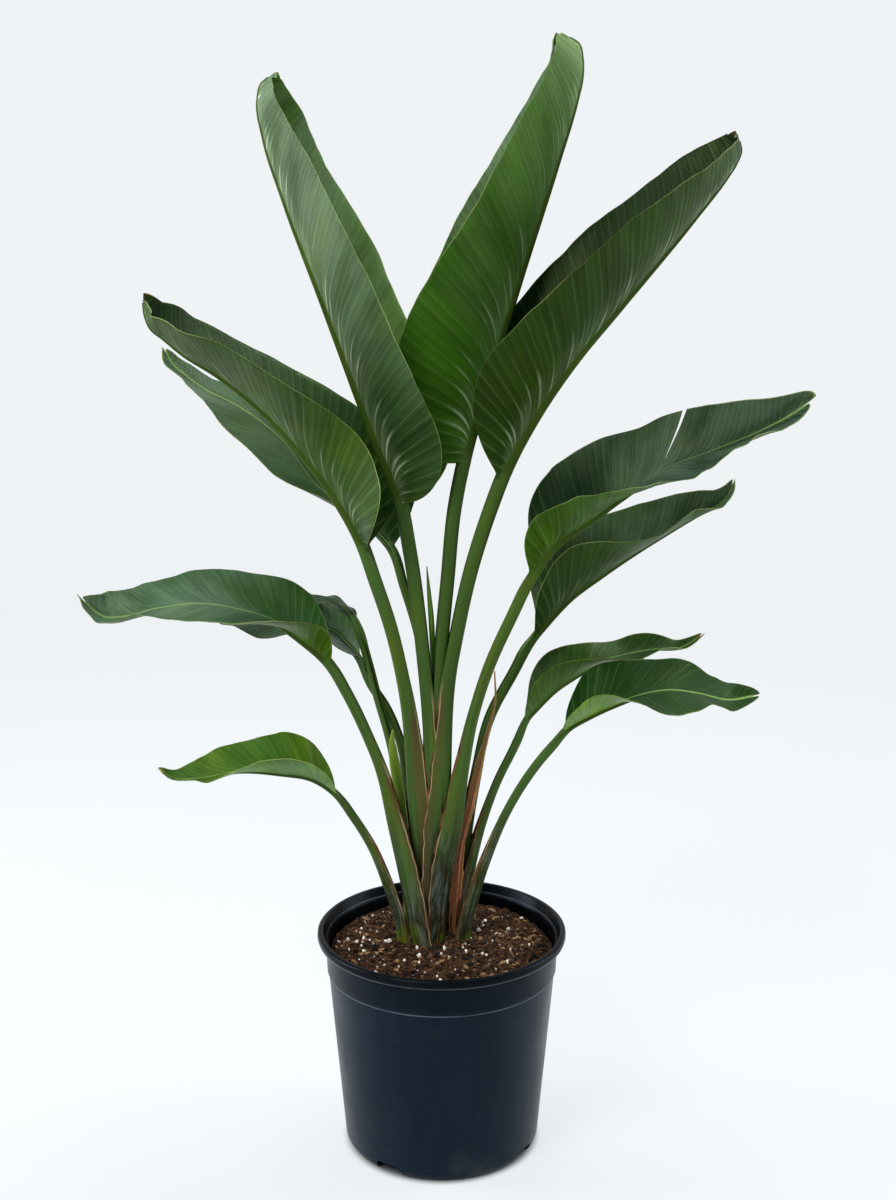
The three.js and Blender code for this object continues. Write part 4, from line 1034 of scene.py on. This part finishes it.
def bark_chips(material):
    """Splinters and crumbs of bark: uneven six-sided prisms that taper towards their ends."""
    random = np.random.default_rng(23)
    centre = np.stack(scattered(random, CHIP_COUNT, CHIP_MARGIN), 1)
    long, side, up = (axis[:, None, None] for axis in turned_axes(random, CHIP_COUNT, CHIP_TILT))
    length = random.gamma(1.5, 1.2, CHIP_COUNT).clip(*CHIP_LENGTHS)
    width = (length * random.uniform(0.25, 0.75, CHIP_COUNT)).clip(*CHIP_WIDTHS)
    thick = width * random.uniform(0.35, 0.8, CHIP_COUNT)
    centre[:, 2] += 0.25 * thick
    turn = ring_angles(CHIP_SIDES)
    along, size = np.array(CHIP_RINGS).T[:, :, None]
    draws = random.random((CHIP_COUNT, 1 + 3 * len(CHIP_RINGS) * CHIP_SIDES))
    uneven = draws[:, 1:].reshape(CHIP_COUNT, len(CHIP_RINGS), CHIP_SIDES, 3)
    length, width, thick = (measure[:, None, None] for measure in (length, width, thick))
    wide = size * width * np.cos(turn) * (0.75 + 0.4 * uneven[..., 0])
    high = size * thick * np.sin(turn) * (0.75 + 0.4 * uneven[..., 1])
    reach = along * length + (0.4 * uneven[..., 2] - 0.2) * width
    points = centre[:, None, None] + reach[..., None] * long + wide[..., None] * side + high[..., None] * up
    return many_rings("soil_bark", points, draws[:, 0], material, smooth=False)


def soil_fibres(material):
    """Coir fibres and fine roots, which lie curved over the bark."""
    random = np.random.default_rng(31)
    place = np.stack(scattered(random, FIBRE_COUNT, FIBRE_MARGIN)[:2], 1)
    heading = random.uniform(0, 2 * math.pi, FIBRE_COUNT)
    draws = random.random((FIBRE_COUNT, len(FIBRE_SPREADS) + 1))
    length, bend, hump, radius = (
        low + (high - low) * draws[:, k] for k, (low, high) in enumerate(FIBRE_SPREADS)
    )
    turn = ring_angles(FIBRE_SIDES)[:, None]
    rings = []
    for share in np.linspace(0, 1, FIBRE_STEPS + 1):
        angle = heading + bend * (share - 0.5)
        away = np.hypot(*place.T)
        place = place / np.maximum(away, 1e-6)[:, None] * np.minimum(away, SOIL_RADIUS - 2)[:, None]
        rise = soil_height(*place.T) + 0.5 + hump * math.sin(math.pi * share)
        centre = np.column_stack([place, rise])[:, None]
        across = np.stack([-np.sin(angle), np.cos(angle), 0 * angle], 1)[:, None]
        size = (radius * (1 - 0.6 * abs(2 * share - 1)))[:, None, None]
        rings.append(centre + size * (np.cos(turn) * across + np.sin(turn) * UP))
        step = np.stack([np.cos(angle), np.sin(angle)], 1)
        place = place + (length / FIBRE_STEPS)[:, None] * step
    return many_rings("soil_fibres", np.stack(rings, 1), draws[:, -1], material, smooth=True)


def perlite(material):
    """White popped grains, lumpy and angular."""
    random = np.random.default_rng(47)
    places = np.stack(scattered(random, PERLITE_COUNT, PERLITE_MARGIN), 1)
    points, faces = [], []
    for place in places:
        size = float(np.clip(random.gamma(1.6, 0.52), *PERLITE_SIZES))
        stretch = random.uniform(0.6, 1.3, 3)
        centre = place + UP * (0.45 * size + 0.4)
        faces += ring_faces(PERLITE_STEPS - 1, PERLITE_SIDES, len(points), poles=True)
        points.append(centre - UP * size * stretch)
        for i in range(1, PERLITE_STEPS):
            polar = math.pi * i / PERLITE_STEPS
            for a in ring_angles(PERLITE_SIDES) + math.pi * (i % 2) / PERLITE_SIDES:
                flat = math.sin(polar)
                outward = np.array([flat * math.cos(a), flat * math.sin(a), -math.cos(polar)])
                points.append(centre + random.uniform(0.7, 1.15) * size * stretch * outward)
        points.append(centre + UP * size * stretch)
    return make_object("soil_perlite", points, faces, material, smooth=False)


# Materials


def linear(color):
    """Linear light from an sRGB colour given as 0 to 255."""
    shares = [part / 255 for part in color]
    return (*(c / 12.92 if c <= 0.04045 else ((c + 0.055) / 1.055) ** 2.4 for c in shares), 1)


def feed(socket, value):
    """Links a value to the socket, or sets the socket to a number, a vector or an sRGB colour."""
    if isinstance(value, Value):
        value.tree.links.new(value.socket, socket)
    elif isinstance(value, tuple) and len(value) == 3 and socket.type == "RGBA":
        socket.default_value = linear(value)
    else:
        socket.default_value = value


def add_node(tree, kind, inputs, output=0, **settings):
    """One output of a new node, whose inputs are given in their order or by their names."""
    node = tree.nodes.new("ShaderNode" + kind)
    for name, setting in settings.items():
        setattr(node, name, setting)
    for key, value in inputs.items() if isinstance(inputs, dict) else enumerate(inputs):
        feed(node.inputs[key], value)
    return Value(tree, node.outputs[output])


class Value:
    """A number or a colour in a node tree, which can be added, multiplied and spread over a range."""

    def __init__(self, tree, socket):
        self.tree = tree
        self.socket = socket

    def math(self, operation, other=0.0, clamp=False):
        return add_node(self.tree, "Math", [self, other], operation=operation, use_clamp=clamp)

    def __add__(self, other):
        return self.math("ADD", other)

    def __sub__(self, other):
        return self.math("SUBTRACT", other)

    def __mul__(self, other):
        return self.math("MULTIPLY", other)

    def ramp(self, low, high, out_low=0.0, out_high=1.0, kind="SMOOTHSTEP"):
        """The value from low to high, spread over out_low to out_high, and held outside."""
        inputs = [self, low, high, out_low, out_high]
        return add_node(self.tree, "MapRange", inputs, interpolation_type=kind)

    def between(self, a, b):
        """The number a, b or one between them, as this value goes from 0 to 1."""
        return add_node(self.tree, "Math", [self, b - a, a], operation="MULTIPLY_ADD")

    def shade(self, amount):
        """The colour made lighter or darker by amount, which is 1 for no change."""
        return add_node(self.tree, "VectorMath", {0: self, "Scale": amount}, operation="SCALE")

    def toned(self, *parts):
        """The colour with its red, green and blue scaled."""
        return add_node(self.tree, "VectorMath", [self, parts], operation="MULTIPLY")


def mix(share, a, b):
    """The colour a where the share is 0, b where it is 1, and between them elsewhere."""
    inputs = {"Factor": share, "A": a, "B": b}
    return add_node(share.tree, "Mix", inputs, "Result", data_type="RGBA")


def bump(height, distance, strength, under=None):
    """A surface direction from heights, on top of an earlier one."""
    inputs = {"Strength": strength, "Distance": distance, "Height": height}
    if under:
        inputs["Normal"] = under
    return add_node(height.tree, "Bump", inputs)


class Material:
    """A Principled material under construction, and the values that its colours come from."""

    def __init__(self, name, specular, tint=(255, 255, 255)):
        self.material = bpy.data.materials.new(name)
        self.material.use_nodes = True
        self.tree = self.material.node_tree
        self.shader = self.tree.nodes["Principled BSDF"]
        self.shader.inputs["Specular IOR Level"].default_value = specular
        self.shader.inputs["Specular Tint"].default_value = linear(tint)
        self.place = add_node(self.tree, "TexCoord", [], "Object")

    def values(self, *names):
        """What the mesh tells about each point, by name."""
        return [add_node(self.tree, "Attribute", [], "Fac", attribute_name=name) for name in names]

    def part(self, axis):
        return add_node(self.tree, "SeparateXYZ", [self.place], axis)

    def from_middle(self):
        """The distance from the pot's middle line."""
        return (self.part("X").math("POWER", 2) + self.part("Y").math("POWER", 2)).math("SQRT")

    def noise(self, scale, detail=3.0, upright=1, at=None, rough=0.5):
        """Noise at the piece's own place, or at another; a low upright number draws it out in height."""
        place = add_node(self.tree, "Mapping", {"Vector": at or self.place, "Scale": (1, 1, upright)})
        inputs = {"Vector": place, "Scale": scale, "Detail": detail, "Roughness": rough}
        return add_node(self.tree, "TexNoise", inputs, "Fac")

    def noise_along(self, detail, *parts, rough=0.5):
        """Noise at a place whose parts are worked out from the mesh's values."""
        return self.noise(1, detail, at=add_node(self.tree, "CombineXYZ", parts), rough=rough)

    def cells(self, scale):
        return add_node(self.tree, "TexVoronoi", {"Vector": self.place, "Scale": scale}, "Distance")

    def finish(self, color, roughness, normal=None):
        feed(self.shader.inputs["Base Color"], color)
        feed(self.shader.inputs["Roughness"], roughness)
        if normal:
            feed(self.shader.inputs["Normal"], normal)
        return self.material


def blade_color(m, leaf):
    """Green with broad patches, bands along the veins, pale waxy patches that are partly a painted sheen, a
    painted highlight at the tip, a pale haze by the rib, painted highlights and shade on the pleats, and
    fine veins.
    """
    upper, across, along, vein, pleat = m.values("upper", "across", "along", "vein", "pleat")
    green = mix(upper, leaf["lower"], leaf["upper"])
    green = green.shade(m.noise(8).ramp(0.3, 0.7, 0.82, 1.2))
    green = green.shade(m.noise_along(4, vein * 0.05, across * 0.7).ramp(0.3, 0.7, 0.8, 1.24))
    green = mix(m.noise(15, 4).ramp(0.44, 0.68, 0, 0.9), green, green.toned(1.45, 1.14, 0.45))

    # Pale waxy patches in bands along the veins, most of them in the outer blade; on the upper face they are
    # a painted sheen. Then a painted highlight on the lower face at the tip.
    most = leaf["bloom_and_sheen"]
    bloom_and_sheen = m.noise_along(5, vein * 0.022, across, 7.3).ramp(0.34, 0.66, most * 0.3, most)
    tip_highlight = along.ramp(0.84, 0.97, 0, leaf["tip_highlight"]) * upper.ramp(0, 0.6, 1, 0)
    bloom_and_sheen = (bloom_and_sheen * along.ramp(0.1, 0.5)).math("ADD", tip_highlight, clamp=True)
    green = mix(bloom_and_sheen, green, mix(upper, leaf["bloom_color"], (132, 158, 132)))

    # A pale haze by the rib and painted highlight streaks on the pleats' ridges, which leave the rib along
    # the veins and fade outward
    uneven = m.noise_along(4, vein * 0.11, across * 1.6, 3.1)
    face = upper.between(leaf["haze"], leaf["haze"] * 0.25)
    haze = across.ramp(0.02, 0.34, 1, 0) * uneven.ramp(0.32, 0.66, 0.1, 1) * face
    green = mix(haze, green, (164, 184, 144))
    ridge = pleat + uneven.ramp(0.3, 0.7, -0.8, 0.7)
    near_rib = across.ramp(0, 0.04) * across.ramp(0.06, 0.46, 1, 0)
    ridge_highlight = (ridge.ramp(0.55, 1.5) * near_rib * face).math("MULTIPLY", 2.7, clamp=True)
    green = mix(ridge_highlight, green, (188, 202, 172))
    # Painted highlights on the pleats' crests, and painted shade in their grooves
    crest_highlight = pleat.ramp(0.55, 1) * uneven.ramp(0.3, 0.6, 0.35, 1) * 0.09
    green = mix(crest_highlight, green, (150, 180, 120))
    green = mix(pleat.ramp(-1, -0.5, 0.55, 0), green, green.toned(0.35, 0.44, 0.3))

    finer = m.noise_along(2, vein * 1.1, across * 1.4).ramp(0.3, 0.7, -0.7, 0.7)
    lines = (vein * 2.6).math("SINE") * 0.35 + finer
    return green.shade(lines.ramp(-1, 1, 0.88, 1.12, "LINEAR")), lines


def stalk_color(m):
    """Green with strands, yellower in places, and blackish with a pale waxy coat towards the soil."""
    arc, = m.values("arc")
    height = m.part("Z")
    green = mix(m.noise(9, 3, 0.25), (40, 64, 24), (68, 94, 44))
    green = mix(m.noise(13, 3, 0.3).ramp(0.45, 0.7, 0, 0.8), green, green.toned(1.45, 1.15, 0.6))
    strands = m.noise_along(4, arc * 1.3, height * 5)
    green = green.shade(strands.ramp(0.3, 0.7, 0.78, 1.2))
    wax = m.noise_along(6, arc * 0.22, height * 46, 4.7, rough=0.62)
    waxy = mix(wax.ramp(0.42, 0.68), (34, 30, 20), (84, 90, 86))
    low = height + m.noise(24, 4, 0.2).ramp(0.3, 0.7, -0.05, 0.05)
    green = mix(low.ramp(0.25, 0.39, 0.92, 0), green, waxy)
    purple = m.noise(20, 4, 0.14).ramp(0.5, 0.66) * height.ramp(0.27, 0.46, 0.85, 0)
    green = mix(purple, green, (44, 27, 20))
    crown = height + m.noise(34).ramp(0.3, 0.7, -0.012, 0.012)
    return mix(crown.ramp(0.224, 0.246, 0.85, 0), green, (82, 94, 28)), strands


def sheath_color(m, leaf, color):
    """Brown shading towards the sheath's edge, then a pale line and a dry brown margin."""
    edge, sheath = m.values("edge", "sheath")
    in_sheath = sheath.ramp(0.04, 0.2)
    warm = sheath.ramp(0.05, 0.4) * sheath.ramp(0.5, 0.95, 0.7, 0) * edge.ramp(0, 22, 1, 0)
    color = mix(warm, color, color.toned(1.7, 1.3, 0.8))
    shading = m.noise(14, 4, 0.25).ramp(0.25, 0.6, leaf["brown_least"], 0.95)
    shading = shading * edge.ramp(0, leaf["brown"], 1, 0) * in_sheath
    color = mix(shading, color, mix(m.noise(26, 3, 0.2), (54, 34, 26), (86, 66, 42)))
    ragged = edge + m.noise(70, 4, 0.3).ramp(0.3, 0.7, -0.8, 0.8)
    cream = m.noise(17).ramp(0.42, 0.6) * in_sheath * ragged.ramp(1.5, 2.4, 0.75, 0)
    color = mix(cream, color, (182, 168, 130))
    dry_edge = ragged.ramp(0.9, 1.5, 1, 0) * in_sheath
    margin = mix(m.noise(40).ramp(0.4, 0.65), (46, 22, 14), (112, 70, 44))
    return mix(dry_edge, color, margin), dry_edge


def leaf_material(leaf):
    """The blade, then the rib and the stalk, the sheath, and what is dry at the edge and the tip."""
    m = Material("leaf_" + leaf["node"], LEAF_SPECULAR, LEAF_SHEEN_TINT)
    upper, along, edge, rib, arc = m.values("upper", "along", "edge", "rib", "arc")
    blade, lines = blade_color(m, leaf)
    stalk, strands = stalk_color(m)
    in_blade = along.ramp(0, 0.03)
    under = mix(m.noise(30), (34, 54, 10), (60, 80, 26))
    rib_color = mix(in_blade, stalk, mix(upper, under, leaf["rib"]))
    thin = arc.ramp(0.7, leaf["rib_line"], 0.9, 0)
    color = mix((upper * in_blade).between(rib, thin), blade, rib_color)
    color, dry_edge = sheath_color(m, leaf, color)

    # The blade's pale edge, its dry tip and small dry flecks
    margin = edge.ramp(0.15, 0.65, 1, 0) * in_blade * m.noise(9, 4).ramp(0.36, 0.64, 0.05, 0.65)
    color = mix(margin, color, (154, 164, 104))
    dry = along + m.noise(45).ramp(0.3, 0.7, -0.006, 0.006)
    dry = dry.ramp(leaf["dry"], leaf["dry"] + 0.008)
    color = mix(dry, color, mix(m.noise(120, 2), (46, 28, 18), leaf["dry_color"]))
    fleck = m.cells(60).ramp(0.04, 0.08, 1, 0) * m.noise(14, 2).ramp(0.62, 0.7) * 0.35
    color = mix(fleck, color, (132, 128, 80))

    gloss = upper.ramp(0, 1, 0.42, 0.34) + m.noise(40).ramp(0.3, 0.7, -0.05, 0.08)
    gloss = gloss + dry_edge.math("MAXIMUM", dry) * 0.3
    normal = bump(lines * rib.ramp(0, 1, 1, 0), 0.00018, 0.7)
    normal = bump(strands * rib, 0.0006, 0.4, normal)
    return m.finish(color, gloss, normal)


def rolled_material():
    m = Material("young_leaf", LEAF_SPECULAR)
    arc, along, seam = m.values("arc", "along", "seam")
    lines = (arc * 7).math("SINE")
    green = mix(m.noise(20, 3, 0.3), (48, 84, 22), (80, 118, 38))
    green = green.shade(lines.ramp(-1, 1, 0.9, 1.08))
    green = mix(seam.ramp(0.1, 0.6, 0.7, 0), green, (28, 46, 14))
    green = mix(along.ramp(0.975, 0.995), green, (110, 92, 46))
    return m.finish(green, 0.42, bump(lines, 0.0002, 0.5))


def green_material():
    m = Material("young_sheath", LEAF_SPECULAR)
    arc, along, edge = m.values("arc", "along", "edge")
    strands = m.noise_along(3, arc * 1.4, m.part("Z") * 9)
    green = mix(m.noise(16, 3, 0.3), (50, 78, 22), (82, 106, 34))
    green = mix(along.ramp(0.6, 0.95), green, (108, 138, 40))
    green = green.shade(strands.ramp(0.3, 0.7, 0.85, 1.12))
    green = mix(edge.ramp(0.3, 1.1, 0.7, 0), green, (150, 140, 84))
    return m.finish(green, 0.45, bump(strands, 0.0004, 0.5))


def dry_material():
    m = Material("dry_sheath", 0.2)
    arc, along, edge = m.values("arc", "along", "edge")
    strands = m.noise_along(4, arc * 1.5, m.part("Z") * 14)
    brown = mix(strands.ramp(0.25, 0.75), (112, 64, 38), (192, 128, 86))
    brown = mix(m.noise(30, 4, 0.3).ramp(0.5, 0.7, 0, 0.6), brown, (98, 52, 30))
    brown = mix(along.ramp(0.48, 0.72, 0, 0.6), brown, (84, 86, 40))
    brown = mix(edge.ramp(0.2, 1.2, 0.6, 0), brown, (188, 148, 98))
    return m.finish(brown, 0.75, bump(strands, 0.0005, 0.8))


def pot_material():
    """Dark satin plastic: painted shade on the collar, rim and inner wall, two painted highlight lines,
    faint upright lines, dust, scuffs.
    """
    m = Material("black_plastic", POT_SPECULAR, POT_SHEEN_TINT)
    height = m.part("Z")
    reach = m.from_middle()
    step = STEP_HEIGHT * MM
    rim = (POT_HEIGHT - RIM_DEPTH) * MM
    wall = (COLLAR_RADIUS - POT_WALL + 0.1) * MM
    wall_out = wall + 0.0008
    draw = m.noise(90, 3, 0.05)
    base = mix(m.noise(7), (9, 20, 30), (14, 28, 39)).shade(draw.ramp(0.3, 0.7, 0.9, 1.1))
    # Painted shade: the collar darker from the step up, and the rim darker still.
    base = base.shade(height.ramp(step, step + 0.006, 1, 0.45))
    base = base.shade(height.ramp(rim - 0.0005, rim + 0.0015, 1, 0.2))
    # Painted shade inside the pot: the inner wall darker above the step.
    inner = (reach - height.ramp(rim, rim + 0.0015, 0, 0.005)).ramp(wall, wall_out, 1, 0)
    base = base.shade((inner * height.ramp(step + 0.003, step + 0.005)).ramp(0, 1, 1, 0.2))
    # Painted highlights: a pale line along the step and one under the rim, on the outside only.
    for line, share in ((step, 0.5), (rim + 0.001, 0.32)):
        highlight_line = (height - line).math("ABSOLUTE").ramp(0.0003, 0.001, share, 0)
        highlight_line = highlight_line * m.noise(30).ramp(0.3, 0.6, 0.4, 1) * reach.ramp(wall, wall_out)
        base = mix(highlight_line, base, (112, 124, 136))
    dust = m.noise(26, 4).ramp(0.5, 0.75) * height.ramp(0, 0.04, 0.22, 0.04)
    base = mix(dust, base, (84, 82, 80))
    base = mix(m.noise(40, 5, 6).ramp(0.66, 0.72, 0, 0.08), base, (74, 82, 90))
    normal = bump(draw, 0.0003, 0.2, bump(m.noise(900, 2), 0.00006, 0.3))
    return m.finish(base, m.noise(18).ramp(0.3, 0.7, 0.28, 0.38), normal)


def soil_material():
    m = Material("soil_ground", 0.1)
    brown = mix(m.noise(160, 5).ramp(0.3, 0.7), (9, 6, 4), (70, 46, 28))
    brown = mix(m.noise(35, 4).ramp(0.5, 0.7, 0, 0.5), brown, (84, 58, 34))
    return m.finish(brown, 0.95, bump(m.noise(700, 5), 0.0012, 0.9))


def bark_material():
    m = Material("bark", 0.15)
    tint, = m.values("tint")
    brown = mix(tint.ramp(0.15, 0.8), (12, 7, 5), (72, 46, 29))
    brown = mix(tint.ramp(0.78, 1), brown, (150, 118, 84))
    brown = brown.shade(m.noise(400, 4).ramp(0.3, 0.7, 0.75, 1.25))
    return m.finish(brown, 0.85, bump(m.noise(900, 4), 0.0006, 0.8))


def fibre_material():
    m = Material("coir", 0.2)
    tint, = m.values("tint")
    brown = mix(tint.ramp(0.2, 1), (20, 11, 7), (132, 96, 66))
    return m.finish(brown.shade(m.noise(300).ramp(0.3, 0.7, 0.85, 1.15)), 0.7)


def perlite_material():
    m = Material("perlite", 0.3)
    white = mix(m.noise(350, 4), (214, 206, 190), (250, 246, 236))
    return m.finish(white, 0.8, bump(m.noise(1200), 0.0004, 0.6))


def floor_material():
    """A pale floor, which glows outside the pot's foot so that shadows stay soft, and fades out far away."""
    m = Material("pale_floor", 0.1)
    m.finish(mix(m.noise(2.2), FLOOR_COLOR, FLOOR_COLOR_LIGHT), 0.8)
    away = add_node(m.tree, "VectorMath", [m.place], "Value", operation="LENGTH")
    feed(m.shader.inputs["Emission Color"], FLOOR_GLOW_COLOR)
    # Painted contact shadow: the glow fades in just outside the pot's foot.
    feed(m.shader.inputs["Emission Strength"], away.ramp(GLOW_NEAR, GLOW_FAR, 0, FLOOR_GLOW))
    fade = away.ramp(FLOOR_CLEAR, FLOOR_RADIUS * 0.98)
    surfaces = [Value(m.tree, m.shader.outputs[0]), add_node(m.tree, "BsdfTransparent", [])]
    faded = add_node(m.tree, "MixShader", [fade, *surfaces])
    feed(m.tree.nodes["Material Output"].inputs["Surface"], faded)
    return m.material


# Stage


def floor():
    edge = FLOOR_RADIUS / MM
    points = [(edge * math.cos(a), edge * math.sin(a), 0) for a in ring_angles(FLOOR_SIDES)]
    piece = make_object("floor", points, [list(range(FLOOR_SIDES))], floor_material())


def soft_light(name, place, aim, size, power, color):
    light = bpy.data.lights.new(name, "AREA")
    light.shape = "RECTANGLE"
    light.size, light.size_y = size
    light.energy = power
    light.color = color
    piece = add_object(name, light)
    piece.location = place
    x, y, z = np.array(place) - np.array(aim)
    piece.rotation_euler = (math.atan2(math.hypot(x, y), z), 0, math.atan2(x, -y))
    piece.visible_camera = False


def room_light():
    """Even pale light all round the plant, with a darker ceiling."""
    world = bpy.data.worlds.new("studio")
    world.use_nodes = True
    tree = world.node_tree
    direction = add_node(tree, "TexCoord", [], "Generated")
    rise = add_node(tree, "SeparateXYZ", [direction], "Z").ramp(0.2, 0.75)
    feed(tree.nodes["Background"].inputs["Color"], mix(rise, WORLD_COLOR, CEILING_COLOR))
    bpy.context.scene.world = world


def camera():
    lens = bpy.data.cameras.new("camera")
    lens.sensor_fit = "VERTICAL"
    lens.sensor_height = SENSOR_HEIGHT
    lens.lens = CAMERA_LENS
    piece = add_object("camera", lens)
    piece.location = CAMERA_PLACE
    piece.rotation_euler = (math.radians(90 - CAMERA_TILT), 0, 0)
    bpy.context.scene.camera = piece


def build():
    camera()
    room_light()
    for name, light in LIGHTS.items():
        soft_light(name, *light)
    floor()
    bpy.context.scene.view_settings.view_transform = "Standard"
    random = np.random.default_rng(5)
    for entry in LEAVES:
        leaf = {**LEAF_DEFAULTS, **entry}
        dress(leaf_piece(leaf, leaf_material(leaf), random), "leaf", leaf["node"])
    dress(rolled_leaf(rolled_material()), "young_leaf", "rolled_leaf")
    dry = loose_sheath("dry_leaf_sheath", DRY_PATH, DRY_WIDTHS, dry_material(), random, 1)
    dress(dry, "dry_sheath", "dry_sheath")
    green = loose_sheath("young_sheath", GREEN_PATH, GREEN_WIDTHS, green_material(), random, 0.25)
    dress(green, "young_leaf", "green_sheath")
    dress(pot_piece(pot_material()), "pot", "pot")
    dress(soil_bed(soil_material()), "soil", "soil")
    dress(bark_chips(bark_material()), "soil")
    dress(soil_fibres(fibre_material()), "soil")
    dress(perlite(perlite_material()), "soil")


build()
